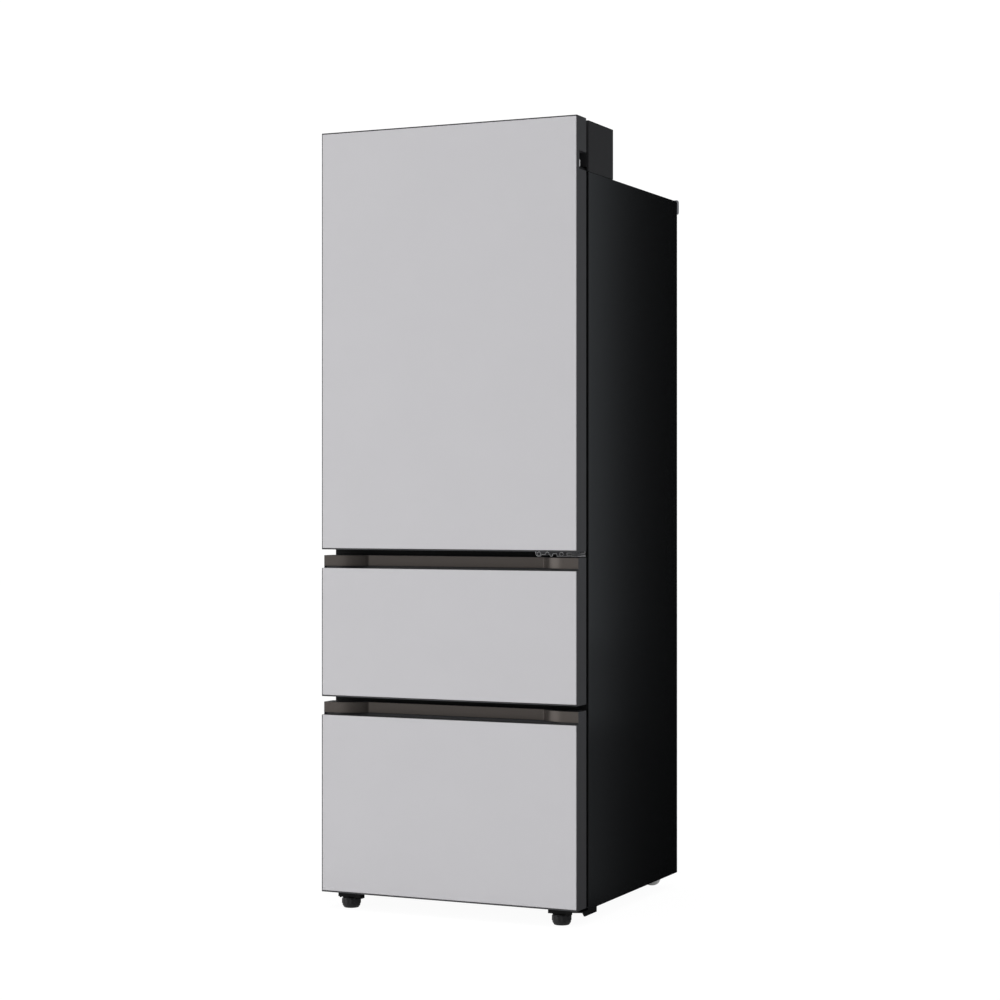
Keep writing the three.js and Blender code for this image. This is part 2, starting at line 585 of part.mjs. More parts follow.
// Levelling foot: a scalloped disc with a tapered sole on its threaded stem.
function foot(sign) {
  const { flutes, depth, points, waist, top, sole, taper, edge, rim } = KNOB;
  const count = flutes * points;
  const x = sign * FOOT_X;
  const outline = Array.from({ length: count }, (_, step) => {
    const angle = step / count * Math.PI * 2;
    const radius = FOOT_RADIUS - depth * (1 - Math.cos(flutes * angle));
    return [x + radius * Math.cos(angle), FOOT_Y + radius * Math.sin(angle)];
  });
  const low = FOOT_HEIGHT * waist;
  const inside = FOOT_RADIUS - edge;
  const disc = prism(outline, 'z', low, FOOT_HEIGHT - top);
  const tread = turned(
    [[0, 0], [FOOT_RADIUS - sole, 0], [inside, low * taper], [inside, low + SINK], [0, low + SINK]], x, FOOT_Y);
  const crown = turned(
    [[0, FOOT_HEIGHT - top - SINK], [inside, FOOT_HEIGHT - top - SINK], [inside, FOOT_HEIGHT - rim],
      [inside - rim, FOOT_HEIGHT], [0, FOOT_HEIGHT]], x, FOOT_Y);
  const stem = bar(x, FOOT_Y, STEM_RADIUS, 'z', FOOT_HEIGHT - SINK, CABINET_BOTTOM + STEM_TOP);
  return join(disc, tread, crown, stem);
}

// Roller with a crowned tread, on the fork's axle.
function roller(sign) {
  const half = ROLLER_WIDTH / 2;
  const bore = AXLE_RADIUS + PIN_CLEARANCE;
  const tread = ROLLER_SHARES.map((share) => (
    [ROLLER_RADIUS - ROLLER_CROWN * (1 - Math.sqrt(1 - share ** 2)), share * half]));
  const profile = [[bore, -half], ...tread, [bore, half], [bore, -half]];
  const wheel = new THREE.LatheGeometry(profile.map(([r, z]) => new THREE.Vector2(r, z)), ROLLER_SIDES);
  return solid(wheel.rotateZ(-Math.PI / 2).translate(sign * ROLLER_X, ROLLER_Y, ROLLER_RADIUS));
}

// ---- top cover, spacers, hinges ----
function hingeOutline(reach) {
  const shape = new THREE.Shape();
  shape.moveTo(HINGE_X + ARM_RADIUS, reach);
  shape.lineTo(HINGE_X - ARM_WIDTH, reach);
  shape.lineTo(HINGE_X - ARM_WIDTH, FACE - ARM_NECK);
  shape.lineTo(HINGE_X - ARM_RADIUS, BACKING + SINK);
  shape.absarc(HINGE_X, HINGE_SETBACK, ARM_RADIUS, Math.PI, Math.PI * 2);
  return shape;
}

function topHinge() {
  const { top, inset, radius, head } = HINGE_SCREWS;
  const z = TOP + ARM_RISE;
  const high = z + HINGE_PLATE;
  const reach = FACE + TOP_HINGE_REACH;
  const plate = prism(hingeOutline(reach), 'z', z, high, 8);
  const sole = block(
    HINGE_X - ARM_WIDTH, HINGE_X + ARM_RADIUS, FACE + TOP_HINGE_FOOT, reach, TOP + SEAT, z + SINK);
  const pin = bar(HINGE_X, HINGE_SETBACK, PIN_RADIUS, 'z', TOP - PIN_LENGTH, z + SINK);
  const rivet = bar(HINGE_X, HINGE_SETBACK, HINGE_HEAD.radius, 'z', z + SINK, high + HINGE_HEAD.height);
  const screws = top.map((back) => (
    bar(HINGE_X - inset, FACE + back, radius, 'z', z + SINK, high + head, SCREW_SIDES)));
  return join(plate, sole, pin, rivet, ...screws);
}

// The lower hinge is screwed to the cabinet's face between the door and the drawer.
function middleHinge() {
  const z = upper.bottom - DOOR_GAP / 2 - HINGE_PLATE / 2;
  const face = FACE - SEAT;
  const low = middle.top + FLANGE_LOW;
  const high = upper.bottom + FLANGE_HIGH;
  const left = HINGE_X - MIDDLE_HINGE_REACH;
  const right = HINGE_X + ARM_RADIUS;
  const plate = prism(hingeOutline(face), 'z', z, z + HINGE_PLATE, 8);
  const edge = FLANGE_EDGE.map(([along, rise]) => [left + along, low + rise]);
  const flange = prism([...edge, [right, low], [right, high], [left, high]], 'y', face - FLANGE_SHEET, face);
  const pin = bar(HINGE_X, HINGE_SETBACK, PIN_RADIUS, 'z', z + SINK, upper.bottom + PIN_LENGTH);
  const washer = bar(
    HINGE_X, HINGE_SETBACK, PIN_RADIUS + HINGE_WASHER, 'z', z + SINK, upper.bottom - SEAT);
  const { middle: steps, flangeRadius, head } = HINGE_SCREWS;
  const before = face - FLANGE_SHEET - head / 2;
  const screws = steps.map((step) => (
    bar(left + step, z + HINGE_PLATE / 2, flangeRadius, 'y', before, face - SINK, SCREW_SIDES)));
  return join(plate, flange, pin, washer, ...screws);
}

function topCover() {
  const bottom = TOP + SEAT;
  const top = bottom + TOP_COVER_HEIGHT;
  const back = FACE + TOP_COVER_DEPTH;
  const outline = roundedOutline(FACE, back, bottom - PLASTIC, top, TOP_COVER_EDGE);
  const outside = prism(outline, 'x', -HALF, HALF, 3);
  const above = block(-HALF, HALF, FACE, back, bottom, top);
  const inside = block(
    -HALF + PLASTIC, HALF - PLASTIC, FACE + PLASTIC, back - PLASTIC, bottom - PLASTIC - PAST, top - PLASTIC);
  const arm = TOP + ARM_RISE + HINGE_PLATE;
  const play = HINGE_HEAD.height / 2;
  const slot = block(
    HINGE_X - ARM_WIDTH - play, HINGE_X + ARM_RADIUS + play, FACE - PAST, FACE + PLASTIC + PAST,
    bottom - PAST, arm + HINGE_HEAD.height + play);
  return cut(outside.intersect(above), inside, slot);
}

function spacer(sign) {
  const top = TOP + SPACER_RISE;
  const bottom = top - SPACER_HEIGHT;
  const outline = roundedOutline(REAR - SPACER_CORNER, DEPTH, bottom, top, SPACER_CORNER);
  const faces = [sign * (HALF - SPACER_WIDTH), sign * HALF];
  const bump = prism(outline, 'x', Math.min(...faces), Math.max(...faces));
  return bump.intersect(block(-HALF, HALF, REAR + SEAT, DEPTH, bottom - PAST, top + PAST));
}

// ---- machine room ----
const COMPRESSOR = {
  x: -HALF + COMPRESSOR_SIDE,
  y: REAR - COMPRESSOR_BACK,
  bottom: CABINET_BOTTOM + PAN + COMPRESSOR_LIFT,
};
COMPRESSOR.seam = COMPRESSOR.bottom + COMPRESSOR_HEIGHT * SHELL_SEAM.share;
COMPRESSOR.top = COMPRESSOR.bottom + COMPRESSOR_HEIGHT;

// A round bar bent along a smooth line through the given points.
function pipeAlong(points, radius, steps) {
  const section = new THREE.Shape().absarc(0, 0, radius, 0, Math.PI * 2);
  const extrudePath = new THREE.CatmullRomCurve3(points);
  return solid(new THREE.ExtrudeGeometry(section, { extrudePath, steps, curveSegments: 3 }));
}

function compressorPipe({ angle, rise }) {
  const { x, y, seam } = COMPRESSOR;
  const root = COMPRESSOR_RADIUS - PIPE.sink;
  const at = ([out, up]) => new THREE.Vector3(
    x + (root + out) * Math.cos(angle), y + (root + out) * Math.sin(angle), seam + PIPE.rise + up);
  return pipeAlong([...PIPE.bend, [PIPE.reach, rise]].map(at), PIPE.radius, PIPE.steps);
}

function compressorShell() {
  const { x, y, bottom, seam, top } = COMPRESSOR;
  const { half, proud } = SHELL_SEAM;
  const lowPart = SHELL_FOOT.map(([share, rise]) => [COMPRESSOR_RADIUS * share, bottom + rise]);
  const highPart = SHELL_DOME.map(([share, drop]) => [COMPRESSOR_RADIUS * share, top - drop]);
  const flange = [
    [COMPRESSOR_RADIUS, seam - half], [COMPRESSOR_RADIUS + proud, seam - half],
    [COMPRESSOR_RADIUS + proud, seam + half], [COMPRESSOR_RADIUS, seam + half]];
  return turned([...lowPart, ...flange, ...highPart], x, y);
}

function compressorMount() {
  const { x, y, bottom } = COMPRESSOR;
  const { side, half, corner, rise, sheet } = SHELL_WING;
  const reach = COMPRESSOR_RADIUS + side;
  const outline = roundedOutline(x - reach, x + reach, y - half, y + half, corner);
  const plate = prism(outline, 'z', bottom + rise, bottom + rise + sheet);
  const profile = GROMMET.profile.map(([radius, rise]) => [radius, FLOOR + rise]);
  const grommet = (sx, sy) => turned(
    [[0, FLOOR], ...profile, [0, profile.at(-1)[1]]],
    x + sx * (COMPRESSOR_RADIUS - GROMMET.inset), y + sy * GROMMET.half, GROMMET.sides);
  return join(plate, grommet(-1, -1), grommet(-1, 1), grommet(1, -1), grommet(1, 1));
}

function compressor() {
  const { x, y, seam } = COMPRESSOR;
  const { sink, proud, half, low, high } = TERMINAL;
  const side = x + COMPRESSOR_RADIUS;
  const terminal = block(side - sink, side + proud, y - half, y + half, seam - low, seam - high);
  return join(compressorShell(), compressorMount(), terminal, ...PIPES.map(compressorPipe));
}

// Open tray on top of the compressor, where its warmth dries the defrost water.
function drainTray() {
  const { x, y, top } = COMPRESSOR;
  const { halfX, halfY, height, corner, draft, wall, rim, sides } = TRAY;
  const [left, right, near, far] = [x - halfX, x + halfX, y - halfY, y + halfY];
  const at = (inset, rise) => loop(
    left + inset, right - inset, near + inset, far - inset, corner - inset, top + SEAT + rise, sides);
  return loft([
    at(draft, 0), at(draft / 2, height - rim), at(0, height - rim), at(0, height),
    at(draft / 2 + wall, height), at(draft + wall, wall)]);
}

// A coil block: a comb of fins front and back, and return bends out of both end plates.
function finnedCoil({ x0, x1, y, z0, depth, passes, pitch, fins, groove }) {
  const step = (x1 - x0) / (fins - 1);
  const half = depth / 2;
  const comb = (face) => Array.from({ length: fins - 1 }, (_, i) => {
    const [from, to] = FIN_SHARE.map((share) => x0 + (i + share) * step);
    const teeth = [[from, half], [from, half - groove], [to, half - groove], [to, half]];
    return teeth.map(([x, out]) => [x, y + face * out]);
  }).flat();
  const front = [[x0, y - half], ...comb(-1), [x1, y - half]];
  const back = [[x1, y + half], ...comb(1).reverse(), [x0, y + half]];
  const bends = Array.from({ length: passes - 1 }, (_, pass) => {
    const side = pass % 2 ? -1 : 1;
    const end = pass % 2 ? x0 : x1;
    const z = z0 + (pass + 1) * pitch;
    const points = COIL_BEND.map((angle) => {
      const turn = THREE.MathUtils.degToRad(angle);
      const out = pitch / 2 * Math.cos(turn) - BEND_SINK;
      return new THREE.Vector3(end + side * out, y, z + pitch / 2 * Math.sin(turn));
    });
    return pipeAlong(points, COIL_TUBE, PIPE.steps);
  });
  return join(prism([...front, ...back], 'z', z0, z0 + passes * pitch), ...bends);
}

// A straight rod from point to point.
function rod(from, to, radius) {
  const along = to.clone().sub(from);
  const geometry = new THREE.CylinderGeometry(radius, radius, along.length(), SPOKE.sides);
  const turn = new THREE.Quaternion().setFromUnitVectors(new THREE.Vector3(0, 1, 0), along.normalize());
  const centre = from.clone().add(to).multiplyScalar(0.5);
  return solid(geometry.applyQuaternion(turn).translate(centre.x, centre.y, centre.z));
}

const FAN = {
  x: HALF - FAN_SIDE,
  y: REAR - FAN_BACK,
  z: CABINET_BOTTOM + PAN + FAN_RISE,
  radius: FAN_RADIUS,
  blades: FAN_BLADES,
  depth: FAN_DEPTH,
};

// One twisted blade, standing up from the hub.
function blade(radius, depth) {
  const radii = [HUB_RADIUS - BLADE.root, (HUB_RADIUS + radius) / 2, radius];
  const loops = radii.map((r, row) => {
    const pitch = THREE.MathUtils.degToRad(BLADE.pitch - BLADE.untwist * row);
    const half = (BLADE.chord + BLADE.spread * row) / 2;
    return [[-1, -1], [-1, 1], [1, 1], [1, -1]].map(([a, b]) => {
      const along = a * half;
      const thick = b * BLADE.half;
      const x = depth / 2 + along * Math.sin(pitch) * BLADE.lean + thick * Math.cos(pitch);
      const across = along * Math.cos(pitch) - thick * Math.sin(pitch) + r * BLADE.sweep * row;
      return new THREE.Vector3(x, across, r);
    });
  });
  return loft(loops);
}

// Axial fan about the x line through its hub, blades set at an angle to it.
function fan({ radius, blades, depth }) {
  const hub = bar(0, 0, HUB_RADIUS, 'x', 0, depth, MOTOR.sides);
  const turnBy = 360 / blades;
  const wings = Array.from({ length: blades }, (_, i) => blade(radius, depth).rotate([i * turnBy, 0, 0]));
  return join(hub, ...wings);
}

// Shroud plate with the spokes that hold the motor in its ring.
function fanShroud(plateX) {
  const { y, z, radius } = FAN;
  const ring = bar(y, z, radius + SHROUD_RING, 'x', plateX - PAST, plateX + SHROUD + PAST, 28);
  const plate = block(plateX, plateX + SHROUD, y - SHROUD_HALF, y + SHROUD_HALF, FLOOR, FLOOR + SHROUD_HEIGHT);
  const middleX = plateX + SHROUD / 2;
  const spokes = SPOKE.angles.map((angle) => {
    const turn = THREE.MathUtils.degToRad(angle);
    const reach = new THREE.Vector3(0, Math.cos(turn), Math.sin(turn)).multiplyScalar(radius + SPOKE.reach);
    const centre = new THREE.Vector3(middleX, y, z);
    return rod(centre.clone().sub(reach), centre.clone().add(reach), SPOKE.radius);
  });
  return join(cut(plate, ring), ...spokes);
}

function condenser() {
  const { x, y, z, depth } = FAN;
  const plateX = x + depth + SHROUD_GAP;
  const end = HALF - CONDENSER_SIDE;
  const behind = plateX + SHROUD;
  const motor = bar(y, z, MOTOR.radius, 'x', x + depth + SEAT, behind + MOTOR.length, MOTOR.sides);
  const shaft = bar(y, z, SHAFT_RADIUS, 'x', x + SHROUD_GAP, x + depth + SINK, SCREW_SIDES);
  const z0 = FLOOR + CONDENSER_LIFT;
  const coil = finnedCoil({ x0: behind + CONDENSER_START, x1: end, y, z0, ...CONDENSER_COIL });
  const rails = CONDENSER_FEET.map(([from, to]) => block(plateX, end, y + from, y + to, FLOOR, z0 + SINK));
  return join(fanShroud(plateX), motor, shaft, coil, ...rails);
}

function condenserFan() {
  const { x, y, z, depth } = FAN;
  const bore = bar(y, z, SHAFT_RADIUS + PIN_CLEARANCE, 'x', x - PAST, x + depth + PAST, SCREW_SIDES);
  return cut(fan(FAN).translate([x, y, z]), bore);
}

const INLET_AT = { x: HALF - INLET_SIDE, z: CABINET_BOTTOM + INLET_RISE };

function machineCover() {
  const half = HALF - STEEL - SEAT;
  const face = REAR - BACK_PANEL_INSET;
  const [near, far] = [face - STEEL - PAST, face + PAST];
  const plate = block(-half, half, face - STEEL, face, FLOOR, ROOM_TOP - SEAT);
  const columns = [...LOUVRE.outer.map((inset) => inset - HALF), ...LOUVRE.inner.map((inset) => HALF - inset)];
  const slots = columns.flatMap((x) => Array.from({ length: LOUVRE.rows }, (_, row) => {
    const z = CABINET_BOTTOM + LOUVRE.rise + row * LOUVRE.pitch;
    return block(x - LOUVRE.half, x + LOUVRE.half, near, far, z, z + LOUVRE.height);
  }));
  return cut(plate, ...slots, bar(INLET_AT.x, INLET_AT.z, INLET.barrel + SEAT, 'y', near, far));
}

// Flanged bush through the cover, where the mains lead would enter.
function cordInlet() {
  const { bore, neck, barrel, flange, taper, inside, sheet, tip } = INLET;
  const face = REAR - BACK_PANEL_INSET;
  const out = face + SEAT;
  const profile = [
    [bore, face - inside], [barrel, face - inside], [barrel, out], [flange, out], [flange, out + sheet],
    [taper, out + sheet + SINK], [neck, face + tip], [bore, face + tip], [bore, face - inside]];
  const bush = new THREE.LatheGeometry(profile.map(([r, y]) => new THREE.Vector2(r, y)), MOTOR.sides);
  return solid(bush.translate(INLET_AT.x, 0, INLET_AT.z));
}

// ---- cold air duct of the upper compartment ----
const DUCT = {
  front: CAVITY_REAR - DUCT_DEPTH,
  bottom: upper.cavityBottom + DUCT_BOTTOM,
  top: upper.cavityTop - DUCT_HEAD,
};
DUCT.inside = DUCT.front + PLASTIC;
const BLOWER = {
  z: DUCT.top - BLOWER_DROP,
  radius: BLOWER_RADIUS,
  blades: BLOWER_BLADES,
  depth: BLOWER_DEPTH,
};

// Round grille of level slots before the fan.
function grilleSlots() {
  const rows = Array.from({ length: 2 * GRILLE.rows + 1 }, (_, i) => (i - GRILLE.rows) * GRILLE.pitch);
  return rows.map((rise) => {
    const half = Math.sqrt(BLOWER.radius ** 2 - rise ** 2);
    const z = BLOWER.z + rise;
    return block(-half, half, DUCT.front - PAST, DUCT.inside + PAST, z - GRILLE.half, z + GRILLE.half);
  });
}

function intakeSlots(sign) {
  const { rows, pitch, rise, height, start, end } = INTAKE;
  return Array.from({ length: rows }, (_, row) => {
    const z = DUCT.bottom + rise + row * pitch;
    return sideBlock(sign, start, end, DUCT.front - PAST, DUCT.inside + PAST, z, z + height);
  });
}

function evaporatorCover() {
  const { front, bottom, top, inside } = DUCT;
  const shell = (inset, from, to) => prism(roundedOutline(
    -DUCT_HALF + inset, DUCT_HALF - inset, bottom + inset, top - inset, DUCT_CORNER - inset), 'y', from, to, 4);
  const hollow = shell(PLASTIC, inside, CAVITY_REAR + PAST);
  const slots = [...grilleSlots(), ...intakeSlots(-1), ...intakeSlots(1)];
  const end = inside + MOTOR.length;
  const motor = bar(0, BLOWER.z, MOTOR.radius, 'y', inside - SINK, end, MOTOR.sides);
  const shaft = bar(0, BLOWER.z, SHAFT_RADIUS, 'y', end - SINK, end + BLOWER.depth, SCREW_SIDES);
  return join(cut(shell(0, front, CAVITY_REAR - SEAT), hollow, ...slots), motor, shaft);
}

function evaporator() {
  const { pitch } = EVAPORATOR_COIL;
  const half = DUCT_HALF - PLASTIC - SEAT - (pitch / 2 + COIL_TUBE - BEND_SINK);
  const depth = DUCT_DEPTH - 2 * PLASTIC - EVAPORATOR_PLAY;
  const y = DUCT.inside + SEAT + depth / 2;
  const z0 = DUCT.bottom + EVAPORATOR_RISE;
  return finnedCoil({ x0: -half, x1: half, y, z0, depth, ...EVAPORATOR_COIL });
}

function evaporatorFan() {
  const start = DUCT.inside + MOTOR.length + SEAT;
  const wheel = fan(BLOWER).rotate([0, 0, 90]).translate([0, start, BLOWER.z]);
  const bore = bar(
    0, BLOWER.z, SHAFT_RADIUS + PIN_CLEARANCE, 'y', start - PAST, start + BLOWER.depth + PAST, SCREW_SIDES);
  return cut(wheel, bore);
}

// ---- inside the upper compartment ----
function shelf(rise) {
  const { before, behind, under, over, radius } = SHELF_TRIM;
  const z = upper.cavityBottom + rise;
  const high = z + SHELF_GLASS;
  const half = CAVITY_HALF - SHELF_SIDE;
  const front = FACE + SHELF_FRONT;
  const back = CAVITY_REAR - DUCT_DEPTH - SHELF_BACK;
  const glass = block(-half, half, front, back, z, high);
  const edge = roundedOutline(front - before, front + behind, z - under, high + over, radius);
  const trim = prism(edge, 'x', -half + RIB, half - RIB, 3);
  const stop = block(
    -half + RIB, half - RIB, back - SHELF_STOP.depth, back, z + SINK, high + SHELF_STOP.height);
  return join(glass, trim, stop);
}

// Touch panel under the ceiling of the upper compartment, sloped towards the user.
function controlPanel() {
  const top = upper.cavityTop - SEAT;
  const front = FACE + CONTROL.front;
  const back = front + CONTROL.depth;
  const lip = CONTROL.lip.map(([behind, drop]) => [front + behind, top - drop]);
  const [before, rise] = CONTROL.back;
  const profile = [[front, top], ...lip, [back - before, top - rise], [back, top]];
  return prism(profile, 'x', -CONTROL.half, CONTROL.half);
}

// ---- fronts ----
const PANEL_HALF = HALF - BEZEL - SEAT;

// Depth of the grip's face at a place across the front: two S bends down to the deeper middle.
function gripDepth(x) {
  const share = (Math.abs(x) - GRIP_BEND_INNER) / GRIP_BEND;
  const clamped = THREE.MathUtils.clamp(share, 0, 1);
  return GRIP_SETBACK + GRIP_RECESS * (1 + Math.cos(Math.PI * clamped)) / 2;
}

// Points of the grip's face from left to right, pushed back by a distance along its normal.
function gripLine(half, offset) {
  const right = Array.from({ length: GRIP_STEPS + 1 }, (_, step) => (
    GRIP_BEND_INNER + GRIP_BEND * step / GRIP_STEPS));
  const places = [-half, ...right.map((x) => -x).reverse(), ...right, half];
  return places.map((x) => {
    if (Math.abs(x) === half) return [x, gripDepth(x) + offset];
    const slope = gripDepth(x + 0.5) - gripDepth(x - 0.5);
    const scale = offset / Math.hypot(1, slope);
    return [x - slope * scale, gripDepth(x) + scale];
  });
}

function gripBand(front) {
  const outline = [...gripLine(PANEL_HALF, 0), ...gripLine(PANEL_HALF, GRIP_SHEET).reverse()];
  return prism(outline, 'z', front.panelTop + GROOVE, front.top);
}

function frontPanel(front) {
  const bottom = front.panelBottom + SEAT;
  const top = front === upper ? front.panelTop - SEAT : front.panelTop;
  const plate = block(-PANEL_HALF, PANEL_HALF, 0, PANEL, bottom, top);
  const bevel = 2 * PANEL_CHAMFER;
  const edge = mitredRing(
    [[-PAST, -PAST], [bevel, -PAST], [-PAST, bevel]], -PANEL_HALF, PANEL_HALF, bottom, top);
  return cut(plate, edge);
}

function frameWindow(front, top, grow) {
  const wall = FRAME_WALL + grow;
  const start = grow ? CORE_FRONT : -PAST;
  return block(-HALF + wall, HALF - wall, start, DOOR_DEPTH + PAST, front.bottom + wall, top - wall);
}

const drawerCoreTop = (front) => front.panelTop - POCKET_DROP - POCKET_FLOOR + FRAME_WALL;

// Wall behind the metal band, standing back a little more in the groove under it.
function gripWall(front) {
  const inner = HALF - BEZEL;
  const ends = (line) => [[-inner, GRIP_SETBACK], ...line, [inner, GRIP_SETBACK]];
  const outline = [
    [-HALF, GRIP_SETBACK], ...ends(gripLine(inner, GRIP_SHEET + SEAT)), [HALF, GRIP_SETBACK],
    [HALF, DOOR_DEPTH], [-HALF, DOOR_DEPTH]];
  const groove = prism(
    ends(gripLine(inner, GRIP_SHEET + SEAT + GROOVE_DEPTH)), 'z', front.panelTop, front.panelTop + GROOVE);
  return cut(prism(outline, 'z', front.panelTop - SINK, front.top), groove);
}

function drawerFrame(front) {
  const inner = HALF - BEZEL;
  const body = block(-HALF, HALF, PROUD, DOOR_DEPTH, front.bottom, front.panelTop);
  const line = gripLine(inner, GRIP_SHEET + SEAT).filter(([x]) => Math.abs(x) < inner);
  const trench = prism(
    [...line, [GRIP_BEND_OUTER, GRIP_SETBACK], [-GRIP_BEND_OUTER, GRIP_SETBACK]],
    'z', front.panelTop - POCKET_DROP, front.panelTop + PAST);
  const seat = block(-inner, inner, -PAST, PANEL + SEAT, front.panelBottom, front.panelTop + PAST);
  const window = frameWindow(front, drawerCoreTop(front), 0);
  return cut(join(cut(body, trench), gripWall(front)), seat, window);
}

// Raised middle of a drawer's liner, which enters the opening behind it.
function dyke(front, depth, edge) {
  const half = CAVITY_HALF - edge;
  const [low, high] = [front.cavityBottom + edge, front.cavityTop - edge];
  const corners = [[-1, low, 1], [1, low, 1], [1, high, -1], [-1, high, -1]];
  const at = (inset, back) => corners.map(([side, z, up]) => (
    new THREE.Vector3(side * (half - inset), z + up * inset, -back)));
  const tip = BACKING + depth;
  const loops = [at(DYKE_TIP, tip), at(DYKE_SHOULDER.inset, tip - DYKE_SHOULDER.drop), at(0, BACKING - SINK)];
  return loft(loops).transform(new THREE.Matrix4().makeBasis(...AXES.y).elements);
}

function linerFlange(front) {
  const half = HALF - LINER_EDGE;
  return block(
    -half, half, DOOR_DEPTH + SEAT, BACKING, front.bottom + LINER_EDGE, front.top - LINER_EDGE);
}

function drawerLiner(front) {
  const core = frameWindow(front, drawerCoreTop(front), SEAT);
  return join(core, linerFlange(front), dyke(front, DRAWER_DYKE, DYKE_CLEARANCE));
}

// Seal: magnet head against the cabinet, bellows behind it, foot on the liner's flange.
function seal(front) {
  const back = FACE - SEAT;
  const near = BACKING + SEAT;
  const root = near + SEAL_FOOT.height;
  const neck = near + SEAL_NECK.height;
  const under = back - SEAL_HEAD.under;
  const cheek = back - SEAL_HEAD.height;
  const tip = back - SEAL_HEAD.chamfer;
  const profile = [
    [SEAL_FOOT.start, near], [SEAL_FOOT.end, near], [SEAL_FOOT.end, root], [SEAL_NECK.end, neck],
    [SEAL_NECK.end + SEAL_NECK.lean, under], [SEAL_WIDTH, cheek], [SEAL_WIDTH, tip],
    [SEAL_WIDTH - SEAL_HEAD.edge, back], [SEAL_HEAD.edge, back], [0, tip], [0, cheek],
    [SEAL_NECK.start + SEAL_NECK.lean, under], [SEAL_NECK.start, neck], [SEAL_FOOT.start, root]];
  const edge = SEAL_WIDTH + SEAL_MARGIN;
  return mitredRing(
    profile, -CAVITY_HALF - edge, CAVITY_HALF + edge, front.cavityBottom - edge, front.cavityTop + edge);
}

// ---- drawer inside ----
// A bin hangs by its rim on the carrier. The lower one is stepped over the machine room.
function binPlace(front, back) {
  const bottom = front.cavityBottom + BIN_FLOOR_GAP;
  const top = front.cavityTop - BIN_HEAD_ROOM;
  const rim = top - RIM_THICKNESS;
  return { bottom, top, rim, back, runner: rim - SEAT - HANGER_RISE - RUNNER_HEIGHT / 2 };
}
const lowerBin = binPlace(lower, STEP_FRONT - LOWER_BIN_REAR);
const middleBin = binPlace(middle, BIN_BACK);
const BIN_STEP = STEP_TOP + BIN_STEP_RISE;
const RUNNER_WALL = CAVITY_HALF - SEAT;

function channel(sign, webX, openX, centre, height, sheet, y0, y1) {
  const [bottom, top] = [centre - height / 2, centre + height / 2];
  const outline = [
    [webX, bottom], [openX, bottom], [openX, bottom + sheet], [webX - sheet, bottom + sheet],
    [webX - sheet, top - sheet], [openX, top - sheet], [openX, top], [webX, top]];
  return prism(outline.map(([x, z]) => [sign * x, z]), 'y', y0, y1);
}

function fixedMember(sign, { runner }) {
  return channel(
    sign, RUNNER_WALL, RUNNER_WALL - RUNNER_WIDTH, runner, RUNNER_HEIGHT, RUNNER_SHEET,
    RUNNER_FRONT, RUNNER_REAR);
}

function middleMember(sign, { runner }) {
  return channel(
    sign, RUNNER_WALL - CAGE_GAP, RUNNER_WALL - RUNNER_WIDTH + SEAT, runner, RUNNER_HEIGHT - 2 * CAGE_GAP, CAGE,
    RUNNER_FRONT + MIDDLE_MEMBER.start, RUNNER_REAR - MIDDLE_MEMBER.end);
}

// Both inner members with their hangers, front plates on the liner and the bar behind the bin.
function carrier({ rim, runner }) {
  const web = RUNNER_WALL - CAGE_GAP - CAGE - SEAT;
  const open = RUNNER_WALL - RUNNER_WIDTH - ARM_OPEN;
  const half = RUNNER_HEIGHT / 2 - CAGE_GAP - CAGE - SEAT;
  const start = RUNNER_FRONT + ARM_START;
  const end = RUNNER_REAR - ARM_END;
  const face = BACKING + DRAWER_DYKE + SEAT;
  const top = rim - SEAT;
  const side = open + HANGER_SINK;
  const arms = [-1, 1].flatMap((sign) => [
    channel(sign, web, open, runner, 2 * half, ARM_SHEET, start, end),
    sideBlock(sign, side - HANGER, side, face, end, runner + half - HANGER_DROP, top),
    sideBlock(
      sign, open - MOUNT_PLATE.width, side, face, face + MOUNT_PLATE.sheet, runner - MOUNT_PLATE.drop, top),
  ]);
  const across = block(-open, open, end - BAR, end, runner - BAR_DROP, runner + half);
  return join(...arms, across);
}

function bin({ bottom, top, rim, back }) {
  const stepped = back < BIN_BACK;
  const level = (inset, z, rear = BIN_BACK) => loop(
    -BIN_HALF + inset, BIN_HALF - inset, BIN_FRONT + inset, rear - inset, BIN_CORNER - inset, z);
  const half = BIN_HALF + BIN_RIM - SINK;
  const brim = (z) => loop(-half, half, BIN_FRONT - RIM_REACH, BIN_BACK + RIM_REACH, BIN_CORNER, z);
  const outerStep = [level(BIN_TAPER.foot, BIN_STEP - BIN_STEP_EDGE, back), level(BIN_TAPER.step, BIN_STEP)];
  const innerStep = [
    level(PLASTIC + BIN_TAPER.step, BIN_STEP + PLASTIC),
    level(PLASTIC + BIN_TAPER.foot, BIN_STEP + PLASTIC - BIN_STEP_EDGE, back)];
  return loft([
    level(BIN_DRAFT, bottom, back), ...(stepped ? outerStep : []), level(0, rim), brim(rim), brim(top),
    level(PLASTIC, top), ...(stepped ? innerStep : []), level(PLASTIC + BIN_DRAFT, bottom + PLASTIC, back)]);
}

// Two lidded containers stand side by side in the middle bin.
const CONTAINER_FLOOR = middleBin.bottom + PLASTIC + SEAT;
const CONTAINER_TOP = CONTAINER_FLOOR + CONTAINER_HEIGHT;

function containerLoop(sign, inset, z) {
  const outer = BIN_HALF - PLASTIC - BIN_DRAFT - CONTAINER_PLAY;
  const sides = [sign * CONTAINER_GAP, sign * outer];
  return loop(
    Math.min(...sides) + inset, Math.max(...sides) - inset, BIN_FRONT + CONTAINER_END + inset,
    BIN_BACK - CONTAINER_END - inset, CONTAINER_CORNER - inset, z);
}

